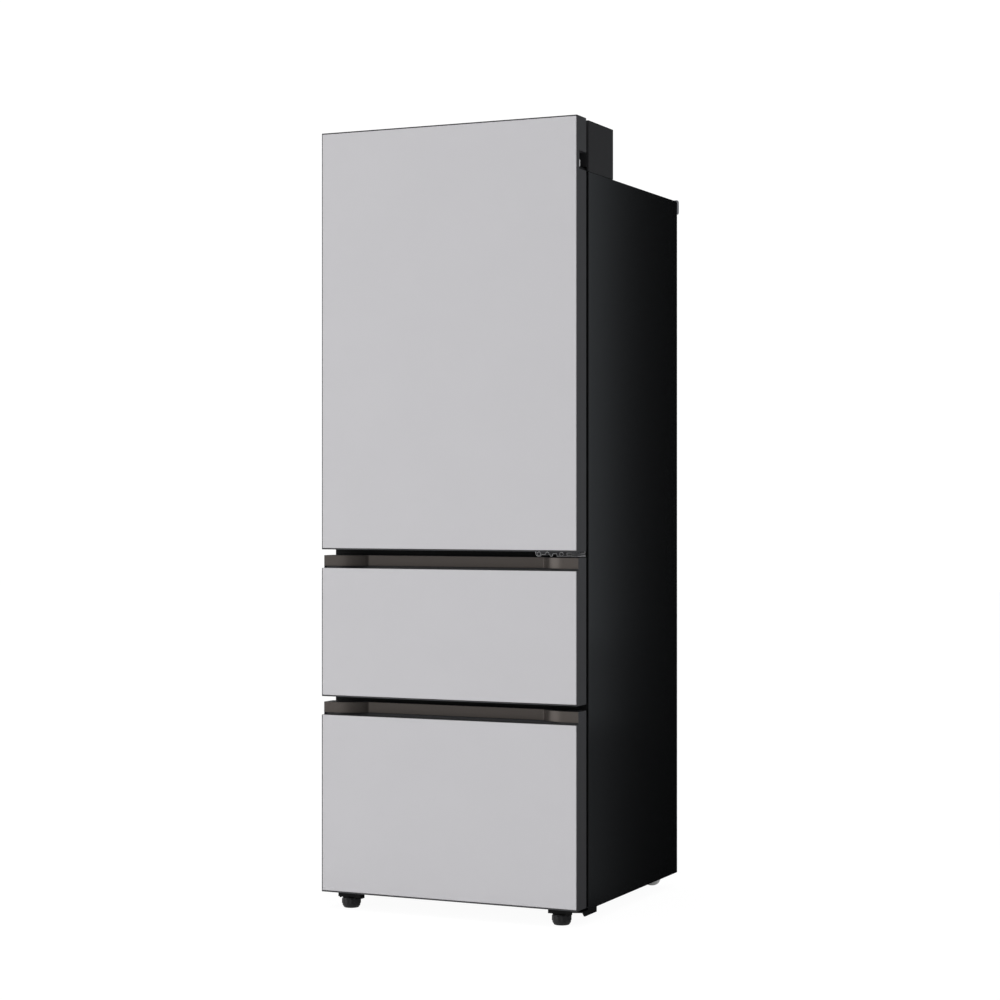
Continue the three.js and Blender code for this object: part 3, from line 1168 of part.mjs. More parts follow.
function container(sign) {
  const [[sole, floor], [heel, foot]] = CONTAINER_FOOT;
  const inside = CONTAINER_BODY + CONTAINER_WALL;
  return loft([
    containerLoop(sign, sole, CONTAINER_FLOOR + floor),
    containerLoop(sign, heel, CONTAINER_FLOOR + foot),
    ...CONTAINER_BEAD.map(([inset, drop]) => containerLoop(sign, inset, CONTAINER_TOP - drop)),
    containerLoop(sign, CONTAINER_BODY, CONTAINER_TOP),
    containerLoop(sign, inside, CONTAINER_TOP),
    containerLoop(sign, heel + CONTAINER_WALL, CONTAINER_FLOOR + foot + CONTAINER_WALL + SINK),
    containerLoop(sign, sole + CONTAINER_WALL, CONTAINER_FLOOR + CONTAINER_WALL)]);
}

function lid(sign) {
  const { skirt, play, edge, rise } = LID;
  const { shoulder, ridge, crown, dish, field, floor } = LID_TOP;
  const seat = CONTAINER_TOP + SEAT;
  const foot = CONTAINER_TOP - skirt;
  const inside = CONTAINER_BODY - SEAT;
  const high = seat + LID_SHEET + crown;
  const low = seat + LID_SHEET + floor;
  const profile = [
    [inside, seat], [inside - play, foot], [edge, foot], [edge, seat + rise],
    [shoulder, high], [ridge, high], [dish, low], [field, low]];
  return loft(profile.map(([inset, z]) => containerLoop(sign, inset, z)));
}

// ---- upper door ----
// Solid parts of the frame round the hinge notch and over the lower pin, as pairs of heights.
const BOSSES = [[NOTCH_BOTTOM - BOSS.under, NOTCH_TOP + BOSS.over], [upper.bottom, upper.bottom + BOSS.foot]];

function hingeBores() {
  const radius = PIN_RADIUS + PIN_CLEARANCE;
  const deep = PIN_LENGTH + PIN_SPARE;
  return [
    bar(HINGE_X, HINGE_SETBACK, radius, 'z', NOTCH_BOTTOM - deep, NOTCH_BOTTOM + PAST),
    bar(HINGE_X, HINGE_SETBACK, radius, 'z', upper.bottom - PAST, upper.bottom + deep)];
}

function upperDoorFrame() {
  const body = block(-HALF, HALF, PROUD, DOOR_DEPTH, upper.bottom, upper.top);
  const inner = HALF - BEZEL;
  const seat = block(-inner, inner, -PAST, PANEL + SEAT, upper.panelBottom, upper.panelTop);
  const window = frameWindow(upper, upper.top, 0);
  const bosses = BOSSES.map(([bottom, top]) => (
    block(HALF - HINGE_BOSS, HALF, CORE_FRONT - SEAT, DOOR_DEPTH, bottom, top)));
  const notch = block(
    HALF - NOTCH_WIDTH, HALF + PAST, NOTCH_FRONT, DOOR_DEPTH + PAST, NOTCH_BOTTOM, NOTCH_TOP);
  return cut(join(cut(body, seat, window), ...bosses), notch, ...hingeBores());
}

function upperDoorLiner() {
  const core = frameWindow(upper, upper.top, SEAT);
  const clear = BOSSES.map(([bottom, top]) => block(
    HALF - HINGE_BOSS - SEAT, HALF + PAST, -PAST, DOOR_DEPTH + SEAT, bottom - SEAT, top + SEAT));
  const notch = block(
    HALF - NOTCH_WIDTH - NOTCH_FRAME, HALF + PAST, 0, BACKING + PAST, NOTCH_BOTTOM - NOTCH_FRAME,
    NOTCH_TOP + NOTCH_FRAME);
  const { inner, innerTip, outerTip, outer, drop } = DYKE_LIP;
  const root = BACKING - SINK;
  const tip = BACKING + DOOR_DYKE_DEPTH;
  const edge = DYKE_CLEARANCE;
  const ring = mitredRing([
    [0, root], [DYKE_WIDTH, root], [DYKE_WIDTH - inner, tip - drop], [DYKE_WIDTH - innerTip, tip],
    [outerTip, tip], [outer, tip - drop],
  ], -CAVITY_HALF + edge, CAVITY_HALF - edge, upper.cavityBottom + edge, upper.cavityTop - edge);
  return join(cut(join(cut(core, ...clear), linerFlange(upper)), notch), ring);
}

function doorBasket(rise) {
  const half = CAVITY_HALF - DYKE_CLEARANCE - DYKE_WIDTH - SEAT;
  const bottom = upper.cavityBottom + DYKE_CLEARANCE + DYKE_WIDTH + rise;
  const top = bottom + BASKET_HEIGHT;
  const near = BACKING + SEAT;
  const far = near + BASKET_DEPTH;
  const at = (inset, z) => loop(
    -half + inset, half - inset, near + inset, far - inset, BASKET_CORNER - inset, z);
  return loft([
    at(BASKET_DRAFT, bottom), at(0, top - BASKET_RIM), at(0, top), at(PLASTIC, top),
    at(PLASTIC + BASKET_DRAFT, bottom + PLASTIC)]);
}

// ---- put together ----
add('outer_case', outerCase(), 'case');
add('back_panel', backPanel(), 'galvanised');
add('base_pan', basePan(), 'black');
add('insulation_foam', insulation(), 'foam');
add('upper_liner', liner(upper), 'liner');
add('middle_liner', liner(middle), 'liner');
add('lower_liner', liner(lower), 'liner');
add('top_cover', topCover(), 'black');
add('top_hinge', topHinge(), 'black');
add('middle_hinge', middleHinge(), 'black');
add('machine_cover', machineCover(), 'galvanised');
add('compressor', compressor(), 'enamel');
add('condenser', condenser(), 'copper');
add('condenser_fan', condenserFan(), 'black');
add('drain_tray', drainTray(), 'black');
add('cord_inlet', cordInlet(), 'black');
add('evaporator', evaporator(), 'steel');
add('evaporator_cover', evaporatorCover(), 'liner');
add('evaporator_fan', evaporatorFan(), 'black');
add('control_panel', controlPanel(), 'black');
add('lower_shelf', shelf(SHELF_RISE[0]), 'glass');
add('upper_shelf', shelf(SHELF_RISE[1]), 'glass');
eachSide((side, sign) => {
  add(`rear_spacer_${side}`, spacer(sign), 'spacer');
  add(`foot_${side}`, foot(sign), 'black');
  add(`roller_${side}`, roller(sign), 'nylon');
});

add('upper_door_panel', frontPanel(upper), 'panel');
add('upper_door_frame', upperDoorFrame(), 'frame');
add('upper_door_liner', upperDoorLiner(), 'liner');
add('upper_door_seal', seal(upper), 'seal');
add('upper_door_basket', doorBasket(BASKET_RISE.upper), 'clear');
add('lower_door_basket', doorBasket(BASKET_RISE.lower), 'clear');

const drawers = { middle: [middle, middleBin], lower: [lower, lowerBin] };
for (const [name, [front, box]] of Object.entries(drawers)) {
  add(`${name}_drawer_panel`, frontPanel(front), 'panel');
  add(`${name}_drawer_frame`, drawerFrame(front), 'frame');
  add(`${name}_drawer_grip`, gripBand(front), 'grip');
  add(`${name}_drawer_liner`, drawerLiner(front), 'liner');
  add(`${name}_drawer_seal`, seal(front), 'seal');
  add(`${name}_drawer_carrier`, carrier(box), 'steel');
  add(`${name}_drawer_bin`, bin(box), 'bin');
  eachSide((side, sign) => {
    add(`${name}_runner_fixed_${side}`, fixedMember(sign, box), 'steel');
    add(`${name}_runner_middle_${side}`, middleMember(sign, box), 'steel');
  });
}
eachSide((side, sign) => {
  add(`kimchi_container_${side}`, container(sign), 'container');
  add(`kimchi_lid_${side}`, lid(sign), 'lid');
});

export default refrigerator;
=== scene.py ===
import math

import bmesh
import bpy
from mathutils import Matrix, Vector


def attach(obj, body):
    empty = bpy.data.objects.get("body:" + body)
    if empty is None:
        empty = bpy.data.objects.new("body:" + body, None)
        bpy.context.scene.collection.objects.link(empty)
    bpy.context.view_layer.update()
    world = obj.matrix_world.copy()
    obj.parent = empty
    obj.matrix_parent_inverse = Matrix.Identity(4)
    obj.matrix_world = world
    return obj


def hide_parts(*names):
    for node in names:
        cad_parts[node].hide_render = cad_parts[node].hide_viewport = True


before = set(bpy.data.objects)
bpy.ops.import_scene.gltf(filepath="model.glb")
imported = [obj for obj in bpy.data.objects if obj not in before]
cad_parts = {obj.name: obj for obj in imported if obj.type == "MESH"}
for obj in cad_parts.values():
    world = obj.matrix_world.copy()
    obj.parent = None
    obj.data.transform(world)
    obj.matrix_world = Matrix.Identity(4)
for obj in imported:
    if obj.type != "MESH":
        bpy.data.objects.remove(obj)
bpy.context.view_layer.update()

# ---- Studio ----
# A level camera with a long lens stands in front and to the right of the refrigerator. The floor is pale,
# the air round it is white, and soft panels light the fronts, the grips and the dark side.
MM = 0.001
CAMERA_PLACE = (2.36634, -5.20816, 0.98305)  # metres
CAMERA_YAW = math.radians(24.576)
CAMERA_LENS, CAMERA_SENSOR = 82.93, 36.0
FLOOR_SIZE = 40.0
FLOOR_WHITE = "#fbfbfb"
FLOOR_GLOW, FLOOR_SEEN_GLOW = 1.06, 0.9
MIDDLE_DEPTH = 338.5  # the frame's origin lies this far behind the door faces


def linear(code):
    """The linear colour of an sRGB hex value, with full alpha."""
    parts = [int(code[i:i + 2], 16) / 255 for i in (1, 3, 5)]
    return [p / 12.92 if p <= 0.04045 else ((p + 0.055) / 1.055) ** 2.4 for p in parts] + [1.0]


def add_node(tree, kind, settings=None, **inputs):
    """A node with its settings; an input is a value, or the output socket that feeds it."""
    made = tree.nodes.new(kind)
    for name, value in (settings or {}).items():
        setattr(made, name, value)
    for name, value in inputs.items():
        socket = made.inputs[name.replace("_", " ")]
        if isinstance(value, bpy.types.NodeSocket):
            tree.links.new(value, socket)
        else:
            socket.default_value = value
    return made


def new_material(name):
    material = bpy.data.materials.new(name)
    material.use_nodes = True
    tree = material.node_tree
    return material, tree, tree.nodes["Principled BSDF"]


def place(x, y, z):
    """A point given in millimetres right of the middle, behind the door faces and above the floor."""
    return Vector((x * MM, (y - MIDDLE_DEPTH) * MM, z * MM))


lens = bpy.data.cameras.new("camera")
lens.lens, lens.sensor_width = CAMERA_LENS, CAMERA_SENSOR
camera = bpy.data.objects.new("camera", lens)
camera.location = CAMERA_PLACE
camera.rotation_euler = (math.pi / 2, 0, CAMERA_YAW)
bpy.context.collection.objects.link(camera)
bpy.context.scene.camera = camera
bpy.context.scene.view_settings.view_transform = "Standard"

floor_mesh = bpy.data.meshes.new("floor")
floor_half = FLOOR_SIZE / 2
floor_corners = [(a * floor_half, b * floor_half, 0) for a, b in ((-1, -1), (1, -1), (1, 1), (-1, 1))]
floor_mesh.from_pydata(floor_corners, [], [(0, 1, 2, 3)])
floor = bpy.data.objects.new("floor", floor_mesh)
bpy.context.collection.objects.link(floor)
floor.visible_glossy = False
# Matt white paper. The camera sees it almost burnt out, as on a lit table, with a trace of shadow left.
floor_paint, tree, shader = new_material("studio floor, matt white")
shader.inputs["Base Color"].default_value = linear(FLOOR_WHITE)
shader.inputs["Roughness"].default_value = 0.9
shader.inputs["Specular IOR Level"].default_value = 0.0
glow = add_node(tree, "ShaderNodeEmission", Color=(1, 1, 1, 1), Strength=FLOOR_GLOW)
ray = add_node(tree, "ShaderNodeLightPath")
share = add_node(tree, "ShaderNodeMath", {"operation": "MULTIPLY"})
tree.links.new(ray.outputs["Is Camera Ray"], share.inputs[0])
share.inputs[1].default_value = FLOOR_SEEN_GLOW
both = add_node(tree, "ShaderNodeMixShader", Fac=share.outputs["Value"])
tree.links.new(shader.outputs["BSDF"], both.inputs[1])
tree.links.new(glow.outputs["Emission"], both.inputs[2])
tree.links.new(both.outputs["Shader"], tree.nodes["Material Output"].inputs["Surface"])
floor_mesh.materials.append(floor_paint)

# The air lights evenly. What gloss mirrors of it is dimmer to the front right and nearly black behind the
# right side, as before a black flag.
AIR_SEEN, AIR_DIFFUSE, AIR_MIRRORED, FLAG_MIRRORED = 1.05, 0.55, 0.5, 0.008
FLAG_TURN, FLAG_CORE, FLAG_EDGE = math.radians(24), math.radians(24), math.radians(36)
DIM_TURN, DIM_CORE, DIM_EDGE, DIM_SHARE = math.radians(125), math.radians(30), math.radians(75), 0.4
world = bpy.data.worlds.new("studio")
bpy.context.scene.world = world
world.use_nodes = True
tree = world.node_tree
tree.nodes.clear()
ray = add_node(tree, "ShaderNodeLightPath")
way = add_node(tree, "ShaderNodeTexCoord")


def air_towards(turn, core, edge, inside, outside):
    """A strength that changes round one level direction, given as a turn from the back to the right."""
    toward = add_node(tree, "ShaderNodeVectorMath", {"operation": "DOT_PRODUCT"})
    tree.links.new(way.outputs["Generated"], toward.inputs[0])
    toward.inputs[1].default_value = (math.sin(turn), math.cos(turn), 0)
    change = add_node(tree, "ShaderNodeMapRange", {"interpolation_type": "SMOOTHSTEP"},
                      Value=toward.outputs["Value"], From_Min=math.cos(edge), From_Max=math.cos(core),
                      To_Min=outside, To_Max=inside)
    return change.outputs["Result"]


dim = air_towards(DIM_TURN, DIM_CORE, DIM_EDGE, AIR_MIRRORED * DIM_SHARE, AIR_MIRRORED)
flag = air_towards(FLAG_TURN, FLAG_CORE, FLAG_EDGE, FLAG_MIRRORED, dim)
mirrored = add_node(tree, "ShaderNodeMix", {"data_type": "FLOAT"}, Factor=ray.outputs["Is Glossy Ray"])
mirrored.inputs[2].default_value = AIR_DIFFUSE
tree.links.new(flag, mirrored.inputs[3])
seen = add_node(tree, "ShaderNodeMix", {"data_type": "FLOAT"}, Factor=ray.outputs["Is Camera Ray"])
tree.links.new(mirrored.outputs[0], seen.inputs[2])
seen.inputs[3].default_value = AIR_SEEN
air = add_node(tree, "ShaderNodeBackground", Color=(1, 1, 1, 1), Strength=seen.outputs[0])
add_node(tree, "ShaderNodeOutputWorld", Surface=air.outputs[0])

# Place and aim in metres, width, height, watts, and whether gloss mirrors the lamp.
LAMPS = {
    "front light": ((-1.6, -5.8, 1.0), (0, -0.3, 0.95), 4.0, 3.5, 108, False),
    "left light": ((-4.6, -2.2, 1.1), (0, -0.3, 0.95), 4.4, 2.2, 36, True),
    "top light": ((0, -0.5, 4.4), (0, -0.45, 0.9), 2.0, 0.6, 40, False),
    "right light": ((4.2, -3.2, 1.8), (0.3, 0, 0.9), 1.6, 3.0, 15, False),
}
# An upright strip behind the right side dims in steps towards the floor.
STRIP_PLACE, STRIP_AIM, STRIP_WIDTH = (1.29, 1.1), (0.34, -0.2), 0.8
STRIP_STEPS = ((0.55, 2.24, 1.0), (0.3, 0.55, 0.75), (-0.25, 0.3, 0.43))  # bottom, top, share of the glow
STRIP_GLOW = 1.122  # watts per square metre
STRIP_WHITE = (0.88, 0.94, 1.0)


def light_panel(name, place_m, aim_m, width, height, power, mirrored, colour=(1, 1, 1)):
    """A soft rectangular lamp that isn't seen itself, and that gloss mirrors if it is to."""
    lamp = bpy.data.lights.new(name, "AREA")
    lamp.shape, lamp.size, lamp.size_y = "RECTANGLE", width, height
    lamp.energy, lamp.color = power, colour
    holder = bpy.data.objects.new(name, lamp)
    holder.location = place_m
    holder.rotation_euler = (Vector(aim_m) - Vector(place_m)).to_track_quat("-Z", "Y").to_euler()
    holder.visible_camera = False
    holder.visible_glossy = mirrored
    bpy.context.collection.objects.link(holder)


for name, lamp in LAMPS.items():
    light_panel(name, *lamp)
for bottom, top, share in STRIP_STEPS:
    middle, height = (bottom + top) / 2, top - bottom
    light_panel("back strip", (*STRIP_PLACE, middle), (*STRIP_AIM, middle), STRIP_WIDTH, height,
                STRIP_GLOW * share * STRIP_WIDTH * height, True, STRIP_WHITE)


# ---- Front panels ----
# Each front carries a flat sheet of steel, bonded into its frame. It is powder-coated in a light warm grey,
# and its folded edge is a little rounded, which catches the light along the gaps.
PANEL_HALF = 331.2
PANEL_THICK = 3.0
PANEL_EDGE = 1.4
PANEL_HEIGHTS = {"upper_door": (867.3, 1863.2), "middle_drawer": (513.8, 819.5),
                 "lower_drawer": (43.3, 466.0)}  # bottom, top
SHARP_TURN = math.radians(33)  # faces that meet at more than this keep a crisp edge


def corner_normals(form):
    """A normal for each face corner, from the areas round it up to the next crisp edge: flats stay flat."""
    areas = {face: face.calc_area() for face in form.faces}
    normals = {}
    for vertex in form.verts:
        left = set(vertex.link_faces)
        while left:
            fan = [left.pop()]
            for face in fan:
                soft = [edge for edge in face.edges
                        if vertex in edge.verts and edge.calc_face_angle(math.pi) < SHARP_TURN]
                joined = {other for edge in soft for other in edge.link_faces} & left
                left -= joined
                fan.extend(joined)
            normal = sum((face.normal * areas[face] for face in fan), Vector()).normalized()
            normals.update({(vertex, face): normal for face in fan})
    return [normals[corner.vert, face] for face in form.faces for corner in face.loops]


def shown(name, form, material):
    """The object of a bmesh, with its material and with smooth faces between crisp edges."""
    mesh = bpy.data.meshes.new(name)
    bmesh.ops.recalc_face_normals(form, faces=form.faces)
    form.normal_update()
    normals = corner_normals(form)
    form.to_mesh(mesh)
    form.free()
    mesh.materials.append(material)
    mesh.polygons.foreach_set("use_smooth", [True] * len(mesh.polygons))
    mesh.set_sharp_from_angle(angle=SHARP_TURN)
    mesh.normals_split_custom_set(normals)
    made = bpy.data.objects.new(name, mesh)
    bpy.context.collection.objects.link(made)
    return made


def fit(piece, body, slot, *nodes):
    """The piece moves with a body and stands for the named solids. The slot is not used."""
    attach(piece, body)
    if nodes:
        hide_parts(*nodes)


def rounded_block(x0, x1, y0, y1, z0, z1, radius, segments=3, form=None):
    """A block with every edge rounded, added to a form or made new."""
    block = bmesh.new()
    bmesh.ops.create_cube(block, size=1.0)
    low, high = place(x0, y0, z0), place(x1, y1, z1)
    size, middle = high - low, (high + low) / 2
    for vertex in block.verts:
        vertex.co = Vector(a * b for a, b in zip(vertex.co, size)) + middle
    bmesh.ops.bevel(block, geom=block.edges[:], offset=radius * MM, segments=segments, profile=0.5,
                    affect="EDGES")
    if form is None:
        return block
    spare = bpy.data.meshes.new("spare")
    block.to_mesh(spare)
    block.free()
    form.from_mesh(spare)
    bpy.data.meshes.remove(spare)
    return form


# Polyester powder coat on steel: an even, silky light grey with a very fine orange peel.
POWDER_TONES = ("#c2c1c4", "#c5c4c7")
CLOUD = 1000 / 6  # mm across a soft cloud of tone
PEEL = 1.6  # mm from crest to crest of the coat
powder_coat, tree, shader = new_material("powder-coated steel")
spot = add_node(tree, "ShaderNodeTexCoord")
cloud = add_node(tree, "ShaderNodeTexNoise", Vector=spot.outputs["Object"], Scale=1000 / CLOUD, Detail=3.0)
tone = add_node(tree, "ShaderNodeValToRGB", Fac=cloud.outputs["Fac"])
tone.color_ramp.elements[0].color, tone.color_ramp.elements[1].color = map(linear, POWDER_TONES)
peel = add_node(tree, "ShaderNodeTexNoise", Vector=spot.outputs["Object"], Scale=1000 / PEEL, Detail=2.0)
relief = add_node(tree, "ShaderNodeBump", Height=peel.outputs["Fac"], Strength=0.04, Distance=0.0002)
tree.links.new(tone.outputs["Color"], shader.inputs["Base Color"])
tree.links.new(relief.outputs["Normal"], shader.inputs["Normal"])
shader.inputs["Roughness"].default_value = 0.52
shader.inputs["Specular IOR Level"].default_value = 0.32

for front, (bottom, top) in PANEL_HEIGHTS.items():
    sheet = rounded_block(-PANEL_HALF, PANEL_HALF, 0, PANEL_THICK, bottom, top, PANEL_EDGE)
    fit(shown(f"{front}_face", sheet, powder_coat), front, "front_panel", f"{front}_panel")


# ---- Front frames ----
# Moulded frames of dark grey ABS hold the panels and the foam. The upper door's has the hinge bosses and the
# notch at its top; the drawers' carry the metal grip band on their heads.
FRAME_ROUND = 0.45
CRISP_TURN = math.radians(30)  # edges with more than this turn are rounded off
FLAT_TURN = math.radians(0.5)  # faces with less than this turn are joined before


def softened(node, name, material, radius, segments=2, where=None, merged=True):
    """A copy of a solid with its crisp outer edges rounded off by a radius in millimetres."""
    form = bmesh.new()
    form.from_mesh(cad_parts[node].data)
    bmesh.ops.remove_doubles(form, verts=form.verts, dist=1e-6)
    if merged:
        bmesh.ops.dissolve_limit(form, angle_limit=FLAT_TURN, verts=form.verts, edges=form.edges)
    if radius:
        crisp = [edge for edge in form.edges
                 if len(edge.link_faces) == 2 and abs(edge.calc_face_angle_signed(0)) > CRISP_TURN
                 and (where is None or where(edge))]
        bmesh.ops.bevel(form, geom=crisp, offset=radius * MM, segments=segments, profile=0.5, affect="EDGES",
                        clamp_overlap=True)
    return shown(name, form, material)


def grained(name, tones, grain, relief, roughness, detail=2.0, depth=0.2, spread=(0.0, 1.0), **more):
    """A finish with a grain in millimetres. It gives a relief of a depth, and a mottling between two tones.

    One tone alone stays even, and a relief of 0 leaves the face smooth. More values go to shader sockets.
    """
    material, tree, shader = new_material(name)
    spot = add_node(tree, "ShaderNodeTexCoord")
    grit = add_node(tree, "ShaderNodeTexNoise", Vector=spot.outputs["Object"], Scale=1000 / grain,
                    Detail=detail)
    if len(tones) == 1:
        shader.inputs["Base Color"].default_value = linear(tones[0])
    else:
        tone = add_node(tree, "ShaderNodeValToRGB", Fac=grit.outputs["Fac"])
        for step, code, at in zip(tone.color_ramp.elements, tones, spread):
            step.color, step.position = linear(code), at
        tree.links.new(tone.outputs["Color"], shader.inputs["Base Color"])
    if relief:
        bump = add_node(tree, "ShaderNodeBump", Height=grit.outputs["Fac"], Strength=relief,
                        Distance=depth * MM)
        tree.links.new(bump.outputs["Normal"], shader.inputs["Normal"])
    shader.inputs["Roughness"].default_value = roughness
    for socket, value in more.items():
        shader.inputs[socket.replace("_", " ")].default_value = value
    return material


# Spark-textured ABS: near-black grey, dull, with the fine grit of the mould. The grit is coarser than the
# real 0.2 mm so that it shows.
ABS_TONES = ("#353537", "#3d3d3f")
abs_grey = grained("moulded ABS, spark texture", ABS_TONES, grain=0.9, relief=0.12, roughness=0.48,
                   detail=3.0)

for front in PANEL_HEIGHTS:
    frame_piece = softened(f"{front}_frame", f"{front}_surround", abs_grey, FRAME_ROUND)
    fit(frame_piece, front, "front_frame", f"{front}_frame")


# ---- Grip bands ----
# Over each drawer's panel runs a band of anodised aluminium, bent in an S at both ends, so that its middle
# lies deep behind the panel's top edge and leaves a pocket for the fingers.
GRIP_HALF = 331.2
GRIP_HEIGHTS = {"middle_drawer": (824.5, 850.0), "lower_drawer": (471.0, 496.5)}
GRIP_SETBACK, GRIP_RECESS = 12.0, 34.0
GRIP_BEND_OUTER, GRIP_BEND_INNER = 300.0, 228.0
GRIP_HOLLOW = 5.0  # radius of the inner arc of each S
GRIP_SHEET, GRIP_ROUND = 2.0, 0.7
GRIP_CHORDS = 48  # chords in each S bend


def skin(form, rings, around=False):
    """Faces between closed rings of points, round to the first one again or with a lid on either end."""
    made = [[form.verts.new(point) for point in ring] for ring in rings]
    count = len(made[0])
    pairs = list(zip(made, made[1:])) + ([(made[-1], made[0])] if around else [])
    for here, there in pairs:
        for i in range(count):
            j = (i + 1) % count
            form.faces.new((here[i], here[j], there[j], there[i]))
    if not around:
        form.faces.new(made[0][::-1])
        form.faces.new(made[-1])
    return form


def rounded_section(a0, a1, b0, b1, radius, steps=3):
    """The outline of a rectangle with rounded corners, as (a, b) pairs."""
    corners = ((a1 - radius, b0 + radius), (a1 - radius, b1 - radius), (a0 + radius, b1 - radius),
               (a0 + radius, b0 + radius))
    return [(a + radius * math.cos((corner - 1 + step / steps) * math.pi / 2),
             b + radius * math.sin((corner - 1 + step / steps) * math.pi / 2))
            for corner, (a, b) in enumerate(corners) for step in range(steps + 1)]


def grip_depth(x):
    """How far the band lies behind the door faces: a tight arc and a wide one make each S."""
    width = GRIP_BEND_OUTER - GRIP_BEND_INNER
    shoulder = (width ** 2 + GRIP_RECESS ** 2) / (2 * GRIP_RECESS) - GRIP_HOLLOW
    along = min(width, max(0.0, abs(x) - GRIP_BEND_INNER))
    if along < width * GRIP_HOLLOW / (GRIP_HOLLOW + shoulder):
        return GRIP_SETBACK + GRIP_RECESS - GRIP_HOLLOW + math.sqrt(GRIP_HOLLOW ** 2 - along ** 2)
    return GRIP_SETBACK + shoulder - math.sqrt(shoulder ** 2 - (width - along) ** 2)


# Anodised aluminium in a dark bronze: rolled lines along the band stretch every highlight upright.
BRONZE = "#6b6561"
LINE_LENGTH, LINE_PITCH = 250.0, 0.5  # mm along and between the rolled lines
bronze, tree, shader = new_material("anodised aluminium, dark bronze")
spot = add_node(tree, "ShaderNodeTexCoord")
stretch = add_node(tree, "ShaderNodeMapping", Vector=spot.outputs["Object"],
                   Scale=(1000 / LINE_LENGTH, 1000 / LINE_LENGTH, 1000 / LINE_PITCH))
lines = add_node(tree, "ShaderNodeTexNoise", Vector=stretch.outputs["Vector"], Scale=1.0, Detail=2.0)
gloss = add_node(tree, "ShaderNodeMapRange", Value=lines.outputs["Fac"], To_Min=0.34, To_Max=0.42)
along = add_node(tree, "ShaderNodeTangent", {"direction_type": "RADIAL", "axis": "Z"})
relief = add_node(tree, "ShaderNodeBump", Height=lines.outputs["Fac"], Strength=0.05, Distance=0.0002)
shader.inputs["Base Color"].default_value = linear(BRONZE)
shader.inputs["Metallic"].default_value = 0.85
shader.inputs["Anisotropic"].default_value = 0.7
shader.inputs["Anisotropic Rotation"].default_value = 0.25
tree.links.new(along.outputs["Tangent"], shader.inputs["Tangent"])
tree.links.new(gloss.outputs["Result"], shader.inputs["Roughness"])
tree.links.new(relief.outputs["Normal"], shader.inputs["Normal"])

chord = (GRIP_BEND_OUTER - GRIP_BEND_INNER) / GRIP_CHORDS
bend = [GRIP_BEND_INNER + chord * i for i in range(GRIP_CHORDS + 1)]
grip_places = [-GRIP_HALF] + [-x for x in reversed(bend)] + bend + [GRIP_HALF]
for front, (bottom, top) in GRIP_HEIGHTS.items():
    section = rounded_section(0, GRIP_SHEET, bottom, top, GRIP_ROUND)
    rings = []
    for x in grip_places:
        slope = grip_depth(x + 0.5) - grip_depth(x - 0.5)
        reach = math.hypot(1, slope)
        rings.append([place(x - slope * a / reach, grip_depth(x) + a / reach, z) for a, z in section])
    fit(shown(f"{front}_band", skin(bmesh.new(), rings), bronze), front, "grip_metal", f"{front}_grip")


# ---- Outer case ----
# The two sides, the top and the front flanges are one bent sheet of steel, with a back sheet behind. The
# sides are stoved in gloss black, which mirrors the room as a soft light-to-dark run.
CASE_ROUND = 1.5
CASE_HALF, CASE_FACE, CASE_TOP = 333.0, 70.0, 1744.5
SHEET_ROUND = 0.2


def near(value, target, slack=0.05):
    """Whether two places in metres agree to within a slack in millimetres."""
    return abs(value - target) < slack * MM


def on_case_corner(edge):
    """The long bends of the sheet: front uprights, top sides and the top's front edge."""
    face_y, top_z, side_x = (CASE_FACE - MIDDLE_DEPTH) * MM, CASE_TOP * MM, CASE_HALF * MM
    return all(sum((near(abs(p.x), side_x), near(p.y, face_y), near(p.z, top_z))) >= 2
               for p in (end.co for end in edge.verts))


# Stoved gloss enamel on steel: black, with a clear mirror under a faint softness. The flanges behind the
# seals stay matt.
GLOSS_BLACK = "#060708"
enamel_black = grained("stoved gloss enamel", (GLOSS_BLACK,), grain=9.0, relief=0.02, roughness=0.2,
                       detail=1.0)
enamel_matt = grained("stoved matt enamel", (GLOSS_BLACK,), grain=2.0, relief=0.08, roughness=0.6,
                      Specular_IOR_Level=0.25)

case = softened("outer_case", "outer_case_sheet", enamel_black, CASE_ROUND, 3, on_case_corner, merged=False)
case.data.materials.append(enamel_matt)
for face in case.data.polygons:
    face.material_index = int(face.normal.y < -0.9)
fit(case, "cabinet", "case_paint", "outer_case")

# Hot-dip galvanised sheet: the zinc's crystals show as a soft patchwork of greys.
ZINC_TONES = ("#8c8f93", "#a9acaf")
SPANGLE = 9.0  # mm across a crystal
galvanised, tree, shader = new_material("hot-dip galvanised steel")
spot = add_node(tree, "ShaderNodeTexCoord")
crystals = add_node(tree, "ShaderNodeTexVoronoi", Vector=spot.outputs["Object"], Scale=1000 / SPANGLE)
tone = add_node(tree, "ShaderNodeValToRGB", Fac=crystals.outputs["Color"])
tone.color_ramp.elements[0].color, tone.color_ramp.elements[1].color = map(linear, ZINC_TONES)
tree.links.new(tone.outputs["Color"], shader.inputs["Base Color"])
shader.inputs["Metallic"].default_value = 0.85
shader.inputs["Roughness"].default_value = 0.42

for node, name in (("back_panel", "back_sheet"), ("machine_cover", "machine_room_cover")):
    fit(softened(node, name, galvanised, SHEET_ROUND), "cabinet", "galvanised_sheet", node)


# ---- Top cover and wall spacers ----
# A full-width moulding hides the hinge and the boards on top of the case. Two bumpers hold the case off the
# wall. All are moulded from polypropylene.
COVER_ROUND, SPACER_ROUND = 0.5, 0.8
# Matt black polypropylene: a dull, slightly mottled skin, its grit a little coarser than the real.
PP_BLACKS = ("#1e1e20", "#242426")
pp_black = grained("moulded polypropylene, black", PP_BLACKS, grain=1.2, relief=0.15, roughness=0.55,
                   detail=3.0)
cover = softened("top_cover", "top_cover_moulding", pp_black, COVER_ROUND)
fit(cover, "cabinet", "black_plastic", "top_cover")

